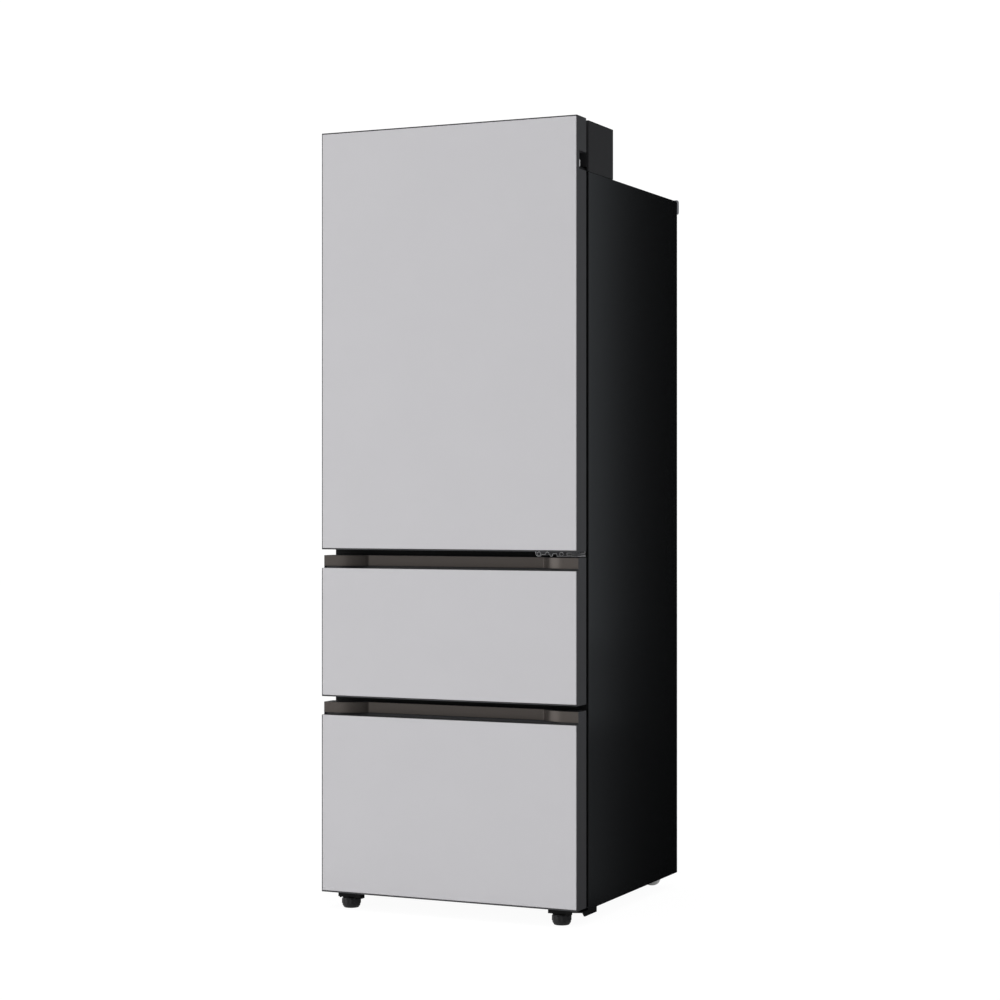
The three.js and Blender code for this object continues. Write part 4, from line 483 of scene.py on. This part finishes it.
# The same skin, even and grey.
pp_grey = grained("moulded polypropylene, grey", ("#7b7c80",), grain=1.2, relief=0.15, roughness=0.6,
                  detail=3.0)
for side in ("left", "right"):
    spacer = softened(f"rear_spacer_{side}", f"wall_spacer_{side}", pp_grey, SPACER_ROUND)
    fit(spacer, "cabinet", "spacer_plastic", f"rear_spacer_{side}")


# ---- Runners ----
# Each drawer runs on two telescopic slides of rolled, zinc-plated steel. Their middle members roll on balls,
# and the inner ones are arms of the carrier behind the drawer's front.
ARM_ROUND, RAIL_ROUND, MEMBER_ROUND = 0.3, 0.25, 0.4
# Zinc plate over rolled steel: bright grey, with drawn-out marks along the rail.
ZINC_PLATE = "#a8abae"
MARK_WIDTH = 1.4  # mm, coarser than the real rolling marks so that it shows
MARK_STRETCH = 0.06  # the marks' fineness along the rail, as a share of that across
zinc_plate, tree, shader = new_material("zinc-plated steel")
spot = add_node(tree, "ShaderNodeTexCoord")
stretch = add_node(tree, "ShaderNodeMapping", Vector=spot.outputs["Object"], Scale=(1.0, MARK_STRETCH, 1.0))
marks = add_node(tree, "ShaderNodeTexNoise", Vector=stretch.outputs["Vector"], Scale=1000 / MARK_WIDTH,
                 Detail=2.0)
gloss = add_node(tree, "ShaderNodeMapRange", Value=marks.outputs["Fac"], To_Min=0.24, To_Max=0.4)
shader.inputs["Base Color"].default_value = linear(ZINC_PLATE)
shader.inputs["Metallic"].default_value = 0.75
tree.links.new(gloss.outputs["Result"], shader.inputs["Roughness"])

for drawer in ("middle", "lower"):
    arms = softened(f"{drawer}_drawer_carrier", f"{drawer}_drawer_arms", zinc_plate, ARM_ROUND)
    fit(arms, f"{drawer}_drawer", "bright_steel", f"{drawer}_drawer_carrier")
    for side in ("left", "right"):
        rail = softened(f"{drawer}_runner_fixed_{side}", f"{drawer}_rail_{side}", zinc_plate, RAIL_ROUND)
        fit(rail, "cabinet", "bright_steel", f"{drawer}_runner_fixed_{side}")
        member = softened(f"{drawer}_runner_middle_{side}", f"{drawer}_slide_member_{side}", zinc_plate,
                          MEMBER_ROUND)
        fit(member, f"{drawer}_slide_{side}", "bright_steel", f"{drawer}_runner_middle_{side}")


# ---- Base, feet and rollers ----
# The base pan, the front leg brackets and the roller forks are welded pressings, dipped in black paint. The
# knurled feet are screwed on steel stems, and two nylon rollers carry the rear.
PAN_ROUND = 0.5
# Dipped paint: near black, half dull, with a soft peel.
base_paint = grained("dipped black paint", ("#0d0d0e",), grain=2.5, relief=0.1, roughness=0.42,
                     Specular_IOR_Level=0.2)
fit(softened("base_pan", "base_pan_painted", base_paint, PAN_ROUND), "cabinet", "base_paint", "base_pan")

FOOT_X, FOOT_Y, FOOT_RADIUS, FOOT_HEIGHT = 276.0, 45.0, 23.0, 24.0
FOOT_FLUTES, FLUTE_STEPS, FLUTE_DEPTH = 12, 10, 1.2
WAIST = FOOT_HEIGHT * 0.4  # the flutes start over it
FOOT_PROFILE = [(5.5, 0.0, 0), (5, 0.5, 0), (1.6, WAIST * 0.6, 0), (1.4, WAIST - 0.3, 0),
                (0.6, WAIST, FLUTE_DEPTH), (0, WAIST + 0.6, FLUTE_DEPTH),
                (0, FOOT_HEIGHT - 3.4, FLUTE_DEPTH), (0.9, FOOT_HEIGHT - 2.6, FLUTE_DEPTH / 2),
                (1.5, FOOT_HEIGHT - 1, 0),
                (1.8, FOOT_HEIGHT - 0.3, 0), (2.5, FOOT_HEIGHT, 0)]  # inset, height, depth of the flutes
STEM_RADIUS, STEM_TOP, STEM_SUNK = 7.0, 36.5, 1
THREAD_PITCH, THREAD_DEPTH, THREAD_SIDES = 2.0, 0.5, 32


def ring(x, y, z, radius, count=48, depth=0.0):
    """A level circle of points, scalloped by a depth if that is given."""
    points = []
    for i in range(count):
        turn = i / count * 2 * math.pi
        r = radius - depth * (1 - math.cos(FOOT_FLUTES * turn)) / 2
        points.append(place(x + r * math.cos(turn), y + r * math.sin(turn), z))
    return points


# Hard black nylon of the feet, dull from the floor's dust.
foot_nylon = grained("moulded nylon, black", ("#1c1c1e",), grain=0.8, relief=0.12, roughness=0.5)

for side, x in (("left", -FOOT_X), ("right", FOOT_X)):
    levels = [(FOOT_RADIUS - inset, z, depth) for inset, z, depth in FOOT_PROFILE]
    levels.append((STEM_RADIUS, FOOT_HEIGHT, 0))
    form = skin(bmesh.new(), [ring(x, FOOT_Y, z, r, FOOT_FLUTES * FLUTE_STEPS, depth)
                              for r, z, depth in levels])
    fit(shown(f"levelling_foot_{side}", form, foot_nylon), f"foot_{side}", "foot_plastic", f"foot_{side}")
    turns = int((STEM_TOP - FOOT_HEIGHT + STEM_SUNK) / THREAD_PITCH * 2) + 1
    thread = [(STEM_RADIUS - THREAD_DEPTH * (i % 2), FOOT_HEIGHT - STEM_SUNK + i * THREAD_PITCH / 2)
              for i in range(turns)]
    form = skin(bmesh.new(), [ring(x, FOOT_Y, z, r, THREAD_SIDES) for r, z in thread])
    fit(shown(f"foot_stem_{side}", form, zinc_plate), f"foot_{side}", "bright_steel")

ROLLER_X, ROLLER_Y, ROLLER_RADIUS, ROLLER_HALF = 274.0, 636.0, 25.0, 20.0
ROLLER_SEGMENTS, ROLLER_CROWN = 56, 13.0
ROLLER_TURNS = range(-78, 79, 12)  # degrees across the crowned tread
ROLLER_HUB = [(4.25, 0.2), (8, 0.2), (8.6, 2), (12, 2)]  # radius from the bore out, depth from the end
# Glass-filled nylon of the rollers: pale grey and waxy.
roller_nylon = grained("glass-filled nylon, grey", ("#e4e4e2",), grain=1.5, relief=0.1, roughness=0.55,
                       detail=3.0)
for side, x in (("left", -ROLLER_X), ("right", ROLLER_X)):
    shares = [math.sin(math.radians(angle)) for angle in ROLLER_TURNS]
    tread = [(ROLLER_RADIUS - ROLLER_CROWN * (1 - math.sqrt(1 - share ** 2)), share * ROLLER_HALF)
             for share in shares]
    hub = [(r, ROLLER_HALF - depth) for r, depth in ROLLER_HUB]
    outline = [(r, -a) for r, a in hub] + tread + hub[::-1]
    rings = []
    for i in range(ROLLER_SEGMENTS):
        turn = i / ROLLER_SEGMENTS * 2 * math.pi
        rings.append([place(x + a, ROLLER_Y + r * math.cos(turn), ROLLER_RADIUS + r * math.sin(turn))
                      for r, a in outline])
    form = skin(bmesh.new(), rings, around=True)
    fit(shown(f"rear_roller_{side}", form, roller_nylon), f"roller_{side}", "roller_nylon", f"roller_{side}")


# ---- Hinges ----
# The top hinge is a plate with a pin in the door's notch; a pale cap of acetal covers the pin's riveted
# head. The middle one stands in the gap under the door, on a flange that is screwed to the cabinet's face.
TOP_ARM_ROUND, MIDDLE_ARM_ROUND = 0.4, 0.25
fit(softened("top_hinge", "top_hinge_arm", base_paint, TOP_ARM_ROUND), "cabinet", "base_paint", "top_hinge")

FLANGE_FRONT, HIGHLIGHT_RIM = 66.7, 1.1
# Zinc-flake coating: dull dark grey, mottled. The rim round the flange's front face is painted near white as
# a painted highlight, standing in for the glints along its edges.
flake_grey = grained("zinc-flake coated steel", ("#47484a", "#515254"), grain=1.5, relief=0, roughness=0.5)
painted_highlight_rim = grained("flange rim, painted highlight", ("#ebebed", "#f8f8fa"), grain=1.5, relief=0, roughness=0.5)
arm = softened("middle_hinge", "middle_hinge_arm", flake_grey, MIDDLE_ARM_ROUND)
arm.data.materials.append(painted_highlight_rim)
form = bmesh.new()
form.from_mesh(arm.data)
flange = [face for face in form.faces if face.normal.y < -0.98
          and near(face.calc_center_median().y, (FLANGE_FRONT - MIDDLE_DEPTH) * MM)]
# An inset rim of the flange's front face takes the near-white paint: a painted highlight, not wear.
rim = bmesh.ops.inset_region(form, faces=flange, thickness=HIGHLIGHT_RIM * MM, use_even_offset=True)
for face in rim["faces"]:
    face.material_index = 1
form.to_mesh(arm.data)
form.free()
fit(arm, "cabinet", "base_paint", "middle_hinge")

HINGE_X, HINGE_Y, CAP_LOW, CAP_HIGH = 316.0, 34.0, 1751.6, 1768.0
CAP_PROFILE = [(7.6, CAP_HIGH - 1.6), (7.6, CAP_LOW), (9.5, CAP_LOW), (9.9, CAP_LOW + 0.4),
               (9.9, CAP_HIGH - 0.8), (9.6, CAP_HIGH - 0.2), (9.1, CAP_HIGH)]  # radius, height
# Acetal of the cap: pale grey, satin.
acetal = grained("moulded acetal, pale grey", ("#dedfe0",), grain=1.5, relief=0.06, roughness=0.4)
form = skin(bmesh.new(), [ring(HINGE_X, HINGE_Y, z, r) for r, z in CAP_PROFILE])
fit(shown("top_hinge_cap", form, acetal), "cabinet", "spacer_plastic")


# ---- Insulation and liners ----
# Polyurethane foam is blown between the steel case and the liners, which are drawn from white polystyrene
# sheet. The fronts have liners of the same sheet, with a raised middle that enters the opening.
LINER_ROUND, FRONT_LINER_ROUND, DUCT_COVER_ROUND = 0.5, 1.2, 0.8
# Blown foam: pale yellow, dull, pitted by its cells.
FOAM_TONES = ("#d9cd98", "#e8dfb6")
FOAM_CELL = 1.8  # mm, coarser than the real cells so that they show
foam, tree, shader = new_material("blown polyurethane foam")
spot = add_node(tree, "ShaderNodeTexCoord")
cells = add_node(tree, "ShaderNodeTexVoronoi", Vector=spot.outputs["Object"], Scale=1000 / FOAM_CELL)
tone = add_node(tree, "ShaderNodeValToRGB", Fac=cells.outputs["Distance"])
tone.color_ramp.elements[0].color, tone.color_ramp.elements[1].color = map(linear, FOAM_TONES)
relief = add_node(tree, "ShaderNodeBump", Height=cells.outputs["Distance"], Strength=0.4, Distance=0.0005)
tree.links.new(tone.outputs["Color"], shader.inputs["Base Color"])
tree.links.new(relief.outputs["Normal"], shader.inputs["Normal"])
shader.inputs["Roughness"].default_value = 0.9
foam_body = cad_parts["insulation_foam"]
foam_body.data.materials.clear()
foam_body.data.materials.append(foam)

# Drawn high-impact polystyrene: clean white with a satin skin.
liner_white = grained("drawn polystyrene, white", ("#e3e4e6",), grain=3.0, relief=0.05, roughness=0.34)
for rank in ("upper", "middle", "lower"):
    liner = softened(f"{rank}_liner", f"{rank}_compartment", liner_white, LINER_ROUND)
    fit(liner, "cabinet", "liner_plastic", f"{rank}_liner")
for front in PANEL_HEIGHTS:
    liner = softened(f"{front}_liner", f"{front}_inner_face", liner_white, FRONT_LINER_ROUND)
    fit(liner, front, "liner_plastic", f"{front}_liner")
duct_cover = softened("evaporator_cover", "duct_cover", liner_white, DUCT_COVER_ROUND)
fit(duct_cover, "cabinet", "liner_plastic", "evaporator_cover")


# ---- Seals ----
# Extruded PVC bellows with a magnet strip in the head close each front against the steel of the case. They
# are pushed into a groove of the front's liner.
SEAL_ROUND = 0.4
# Soft PVC: dark grey, dull, faintly dusty.
seal_pvc = grained("extruded soft PVC, dark grey", ("#3a3b3d",), grain=1.2, relief=0.08, roughness=0.62)
for front in PANEL_HEIGHTS:
    seal = softened(f"{front}_seal", f"{front}_gasket", seal_pvc, SEAL_ROUND)
    fit(seal, front, "seal_rubber", f"{front}_seal")


# ---- Shelves and control panel ----
# Tempered glass shelves lie on the liner's ribs, with a white moulded trim in front and a stop behind. The
# touch panel under the ceiling is a smoked cover over a few lamps.
SHELF_HALF, SHELF_FRONT, SHELF_BACK, GLASS, GLASS_ROUND = 274.5, 166.0, 521.0, 4.0, 0.6
SHELF_HEIGHTS = {"lower_shelf": 1148.0, "upper_shelf": 1408.0}
SHELF_PLAY, TRIM_PLAY = 0.3, 0.1
TRIM_HALF, TRIM_FRONT = 264.5, SHELF_FRONT - 4
TRIM_BARS = ((TRIM_FRONT, SHELF_FRONT + 8, -4, -TRIM_PLAY, 1.2),
             (TRIM_FRONT, SHELF_FRONT + 8, GLASS + TRIM_PLAY, GLASS + 5, 1.2),
             (TRIM_FRONT, SHELF_FRONT + 0.2, -3, GLASS + 4, 1.0),
             (SHELF_BACK - 6, SHELF_BACK, GLASS + TRIM_PLAY, GLASS + 9, 1.2))  # y, y, z, z, rounding
# Float glass, tempered: clear with a faint green in its edge.
shelf_glass = grained("tempered float glass", ("#dff0ea",), grain=60.0, relief=0.01, roughness=0.02,
                      detail=1.0, depth=0.5, IOR=1.52, Transmission_Weight=0.95)
for node, z in SHELF_HEIGHTS.items():
    pane = rounded_block(-SHELF_HALF, SHELF_HALF, SHELF_FRONT + SHELF_PLAY, SHELF_BACK - SHELF_PLAY,
                         z, z + GLASS, GLASS_ROUND, 2)
    fit(shown(f"{node}_pane", pane, shelf_glass), "cabinet", "shelf_glass", node)
    trim = None
    for front_y, back_y, low, high, rounding in TRIM_BARS:
        trim = rounded_block(-TRIM_HALF, TRIM_HALF, front_y, back_y, z + low, z + high, rounding, form=trim)
    fit(shown(f"{node}_trim", trim, liner_white), "cabinet", "liner_plastic")

PANEL_COVER_ROUND = 0.8
# Smoked ABS cover with a high polish.
smoked = grained("polished ABS, smoked black", ("#101113",), grain=15.0, relief=0.02, roughness=0.12,
                 detail=1.0)
touch_panel = softened("control_panel", "touch_panel", smoked, PANEL_COVER_ROUND)
fit(touch_panel, "cabinet", "black_plastic", "control_panel")


# ---- Bins, containers and baskets ----
# The drawers' bins hang by their rims. Two lidded boxes of brown polypropylene keep the kimchi, and the door
# has two clear baskets.
CORNER_STEPS = 10


def level(x0, x1, y0, y1, radius, z):
    """A level outline with rounded corners at a height."""
    return [place(a, b, z) for a, b in rounded_section(x0, x1, y0, y1, radius, CORNER_STEPS)]


WALL = 2.5
BIN_HALF, BIN_FRONT, BIN_LENGTH, BIN_CORNER, BIN_DRAFT = 255.2, 92.3, 443.0, 18.0, 4.0
RIM_REACH, RIM_OVERHANG, RIM = 8.0, 1.5, 3.0
BIN_STEP, SHORT_BIN = 344.5, 323.0  # below the step the lower bin is shorter, clear of the machine room
BIN_HEIGHTS = {"middle": (552.5, 776.0), "lower": (82.0, 422.5)}
# Natural polypropylene: milky light grey, a little soft to the eye.
bin_pp = grained("moulded polypropylene, light grey", ("#d6d8da",), grain=2.0, relief=0.06, roughness=0.38,
                 Subsurface_Weight=0.1, Subsurface_Scale=0.004)


def bin_level(inset, z, length=BIN_LENGTH):
    return level(-BIN_HALF + inset, BIN_HALF - inset, BIN_FRONT + inset, BIN_FRONT + length - inset,
                 BIN_CORNER - inset, z)


def bin_rim(z, inset=0.0):
    reach = RIM_REACH - inset
    return level(-BIN_HALF - reach, BIN_HALF + reach, BIN_FRONT - RIM_OVERHANG + inset,
                 BIN_FRONT + BIN_LENGTH + RIM_OVERHANG - inset, BIN_CORNER, z)


for drawer, (bottom, top) in BIN_HEIGHTS.items():
    under = top - RIM
    length = SHORT_BIN if drawer == "lower" else BIN_LENGTH
    outside = [bin_level(BIN_DRAFT + 1, bottom, length), bin_level(BIN_DRAFT, bottom + 1, length)]
    inside = [bin_level(WALL + BIN_DRAFT, bottom + WALL + 2, length),
              bin_level(WALL + BIN_DRAFT + 2, bottom + WALL, length)]
    if drawer == "lower":
        outside += [bin_level(1, BIN_STEP - 2, length), bin_level(0.6, BIN_STEP)]
        inside = [bin_level(WALL + 0.6, BIN_STEP + WALL),
                  bin_level(WALL + 1, BIN_STEP + WALL - 2, length)] + inside
    lip = [bin_rim(under, 0.4), bin_rim(under + 0.4), bin_rim(top - 0.5), bin_rim(top, 0.5)]
    rings = outside + [bin_level(0, under)] + lip + [bin_level(WALL, top)] + inside
    fit(shown(f"{drawer}_drawer_tub", skin(bmesh.new(), rings), bin_pp), f"{drawer}_drawer", "bin_plastic",
        f"{drawer}_drawer_bin")

BOX_NEAR, BOX_FAR, BOX_FRONT, BOX_BACK, BOX_CORNER = 3.0, 246.7, 101.3, 526.3, 26.0
BOX_BOTTOM, BOX_TOP, BOX_WALL = 555.3, 741.3, 2.2
BOX_OUTSIDE = [(12, BOX_BOTTOM), (10.5, BOX_BOTTOM + 0.6), (7, BOX_BOTTOM + 6), (4, BOX_TOP - 14),
               (2, BOX_TOP - 12.6), (1.5, BOX_TOP - 12), (1.5, BOX_TOP - 9), (2, BOX_TOP - 8.4),
               (4, BOX_TOP - 7), (4, BOX_TOP - 0.5), (4.5, BOX_TOP)]  # inset, height
BOX_INSIDE = [(3.7 + BOX_WALL, BOX_TOP), (4.2 + BOX_WALL, BOX_TOP - 0.5),
              (7 + BOX_WALL, BOX_BOTTOM + 7 + BOX_WALL), (9 + BOX_WALL, BOX_BOTTOM + 2 + BOX_WALL),
              (12 + BOX_WALL, BOX_BOTTOM + BOX_WALL)]
LID_SEAT, LID_SKIRT = BOX_TOP + 0.3, BOX_TOP - 6
LID_PROFILE = [(10, LID_SEAT), (3.7, LID_SEAT), (3.65, LID_SKIRT + 0.4), (3.2, LID_SKIRT), (1.7, LID_SKIRT),
               (1.2, LID_SKIRT + 0.5), (1.2, LID_SEAT + 1), (1.6, LID_SEAT + 3), (3, LID_SEAT + 5.6),
               (4, LID_SEAT + 6.2), (11, LID_SEAT + 6.2), (12.6, LID_SEAT + 5.6), (14.4, LID_SEAT + 4.4),
               (16, LID_SEAT + 4.2), (60, LID_SEAT + 4.2), (61.5, LID_SEAT + 4.8), (75, LID_SEAT + 4.8)]
# Kimchi box of polypropylene, coloured like fired clay with darker flecks.
clay_pp = grained("moulded polypropylene, clay brown", ("#6d4026", "#7c4a2c"), grain=4.0, relief=0.05,
                  roughness=0.3, detail=4.0, spread=(0.35, 0.6))
# Its lid: warm pale grey, satin.
lid_pp = grained("moulded polypropylene, warm grey", ("#c9c1b5",), grain=1.5, relief=0.08, roughness=0.42)


def box_level(sign, inset, z):
    x0, x1 = sorted((sign * BOX_NEAR, sign * BOX_FAR))
    return level(x0 + inset, x1 - inset, BOX_FRONT + inset, BOX_BACK - inset,
                 max(2.0, BOX_CORNER - inset), z)


for side, sign in (("left", -1), ("right", 1)):
    form = skin(bmesh.new(), [box_level(sign, inset, z) for inset, z in BOX_OUTSIDE + BOX_INSIDE])
    box = shown(f"kimchi_box_{side}", form, clay_pp)
    fit(box, "middle_drawer", "container_plastic", f"kimchi_container_{side}")
    form = skin(bmesh.new(), [box_level(sign, inset, z) for inset, z in LID_PROFILE])
    lid = shown(f"kimchi_box_lid_{side}", form, lid_pp)
    fit(lid, "middle_drawer", "lid_plastic", f"kimchi_lid_{side}")

BASKET_HALF, BASKET_FRONT, BASKET_DEPTH, BASKET_HEIGHT, BASKET_CORNER = 225.7, 58.6, 92.0, 95.0, 20
BASKET_BOTTOMS = {"lower": 1008.0, "upper": 1348.0}
# Clear polystyrene of the baskets: bright edges, faintly blue in the mass.
basket_clear = grained("clear moulded polystyrene", ("#e9f0f4",), grain=30.0, relief=0.03, roughness=0.08,
                       detail=1.0, depth=0.5, IOR=1.55, Transmission_Weight=0.8)
for rank, bottom in BASKET_BOTTOMS.items():
    top = bottom + BASKET_HEIGHT
    profile = [(4, bottom), (3, bottom + 1), (0, top - 4), (0, top - 0.5), (0.5, top), (WALL - 0.5, top),
               (WALL, top - 0.5), (WALL + 3, bottom + WALL + 1.5), (WALL + 4.5, bottom + WALL)]
    rings = [level(-BASKET_HALF + i, BASKET_HALF - i, BASKET_FRONT + i, BASKET_FRONT + BASKET_DEPTH - i,
                   BASKET_CORNER - i, z) for i, z in profile]
    basket = shown(f"door_basket_{rank}", skin(bmesh.new(), rings), basket_clear)
    fit(basket, "upper_door", "basket_plastic", f"{rank}_door_basket")


# ---- Coils and fans ----
# Behind the duct cover sit a finned aluminium evaporator and an axial fan of black plastic. The condenser
# and its fan stand in the machine room.
# Brazed aluminium: pale, half bright, blotched by the heat.
BLOTCH = 2.0  # mm
coil_metal, tree, shader = new_material("brazed aluminium")
spot = add_node(tree, "ShaderNodeTexCoord")
grit = add_node(tree, "ShaderNodeTexNoise", Vector=spot.outputs["Object"], Scale=1000 / BLOTCH, Detail=3.0)
gloss = add_node(tree, "ShaderNodeMapRange", Value=grit.outputs["Fac"], To_Min=0.3, To_Max=0.5)
shader.inputs["Base Color"].default_value = linear("#b5b7b8")
shader.inputs["Metallic"].default_value = 1.0
tree.links.new(gloss.outputs["Result"], shader.inputs["Roughness"])
for coil in ("evaporator", "condenser"):
    fit(softened(coil, f"{coil}_block", coil_metal, 0.0), "cabinet", "coil_metal", coil)
for fan in ("evaporator_fan", "condenser_fan"):
    fit(softened(fan, f"{fan}_wheel", pp_black, 0.0), fan, "black_plastic", fan)


# ---- Machine room ----
# The compressor's welded steel pot stands on rubber feet on the base pan, with the melt-water tray on its
# lid. Copper pipes leave it, and the power cord enters through a bush in the cover.
POT_X, POT_Y, POT_BOTTOM, POT_HEIGHT, POT_SEAM, POT_SIDES = -160.0, 565.0, 47.5, 165.0, 138.25, 72
POT_FOOT = [(40, 0), (50, 1.5), (60, 6), (68, 14), (73, 24), (75.5, 34), (76, 42)]  # radius, rise
POT_DOME = [(76, 50), (75, 40), (72, 30), (66.5, 19), (58, 10), (46, 4), (30, 1), (12, 0)]  # radius, drop
POT_FLANGE = [(76, -3), (78.4, -2.8), (79, -2.2), (79, 2.2), (78.4, 2.8), (76, 3)]  # radius, from the seam
WING_X, WING_Y, WING_CORNER, WING_SHEET, WING_RISE, WING_ROUND = 82.0, 52.0, 14, 3.0, 3, 0.6
GROMMET_X, GROMMET_Y, GROMMET_FOOT, GROMMET_SIDES = 68.0, 38.0, 35.8, 32
GROMMET_PROFILE = [(9.4, 0), (10, 0.6), (9.6, 5), (9, 8), (9.4, 11), (11, 12.5), (11, 15.2), (10.4, 16),
                   (5, 16), (4.6, 15)]  # radius, rise
TERMINAL_NEAR, TERMINAL_FAR, TERMINAL_HALF, TERMINAL_ROUND = 64, 100, 28, 3.5
TERMINAL_LOW, TERMINAL_HIGH = 48, 6  # below the seam
# Compressor paint: glossy black over a faint peel.
pot_enamel = grained("black compressor paint", ("#151517",), grain=3.0, relief=0.1, roughness=0.3, depth=0.3)

pot = ([(r, POT_BOTTOM + rise) for r, rise in POT_FOOT] + [(r, POT_SEAM + rise) for r, rise in POT_FLANGE]
       + [(r, POT_BOTTOM + POT_HEIGHT - drop) for r, drop in POT_DOME])
form = skin(bmesh.new(), [ring(POT_X, POT_Y, z, r, POT_SIDES) for r, z in pot])
fit(shown("compressor_pot", form, pot_enamel), "cabinet", "compressor_enamel", "compressor")
low, high = POT_BOTTOM + WING_RISE, POT_BOTTOM + WING_RISE + WING_SHEET
profile = [(WING_ROUND, low), (0, low + WING_ROUND), (0, high - WING_ROUND), (WING_ROUND, high)]
rings = [level(POT_X - WING_X + i, POT_X + WING_X - i, POT_Y - WING_Y + i, POT_Y + WING_Y - i,
               WING_CORNER - i, z) for i, z in profile]
fit(shown("compressor_wing", skin(bmesh.new(), rings), pot_enamel), "cabinet", "compressor_enamel")
form = bmesh.new()
for x, y in ((a * GROMMET_X, b * GROMMET_Y) for a in (-1, 1) for b in (-1, 1)):
    skin(form, [ring(POT_X + x, POT_Y + y, GROMMET_FOOT + rise, r, GROMMET_SIDES)
                for r, rise in GROMMET_PROFILE])
fit(shown("compressor_grommets", form, seal_pvc), "cabinet", "seal_rubber")
cap = rounded_block(POT_X + TERMINAL_NEAR, POT_X + TERMINAL_FAR,
                    POT_Y - TERMINAL_HALF, POT_Y + TERMINAL_HALF,
                    POT_SEAM - TERMINAL_LOW, POT_SEAM - TERMINAL_HIGH, TERMINAL_ROUND)
fit(shown("compressor_terminal_cover", cap, pp_black), "cabinet", "black_plastic")

PIPE_RADIUS, PIPE_SIDES, PIPE_ROOT, PIPE_SUNK, PIPE_RISE = 4.0, 20, 80.0, 10, 14.0
PIPE_BEND, PIPE_BEND_CHORDS = 11.0, 10
PIPES = ((-0.5, 40.0), (-2.4, 34.0))  # direction in radians, height of the end
# Drawn copper, browned a little round the brazed joints.
copper = grained("drawn copper", ("#8a4f35", "#c9795a"), grain=12.0, relief=0, roughness=0.3, detail=3.0,
                 Metallic=1.0)
form = bmesh.new()
for angle, rise in PIPES:
    out = Vector((math.cos(angle), math.sin(angle), 0))
    aside = Vector((-math.sin(angle), math.cos(angle), 0))
    bends = [(turn, PIPE_ROOT + PIPE_BEND * math.sin(turn), PIPE_BEND * (1 - math.cos(turn)))
             for turn in (math.pi / 2 * i / PIPE_BEND_CHORDS for i in range(PIPE_BEND_CHORDS + 1))]
    path = [(0, PIPE_ROOT - PIPE_SUNK, 0)] + bends + [(math.pi / 2, PIPE_ROOT + PIPE_BEND, rise)]
    root = place(POT_X, POT_Y, POT_SEAM + PIPE_RISE)
    rings = []
    for turn, reach, lift in path:
        across = -math.sin(turn) * out + math.cos(turn) * Vector((0, 0, 1))
        middle = root + (reach * out + Vector((0, 0, lift))) * MM
        rings.append([middle + PIPE_RADIUS * MM * (math.cos(t) * aside + math.sin(t) * across)
                      for t in (math.tau * i / PIPE_SIDES for i in range(PIPE_SIDES))])
    skin(form, rings)
fit(shown("compressor_pipes", form, copper), "cabinet", "coil_metal")

SMALL_ROUND = 0.3
for node, name in (("drain_tray", "melt_water_tray"), ("cord_inlet", "cord_bush")):
    fit(softened(node, name, pp_black, SMALL_ROUND), "cabinet", "black_plastic", node)
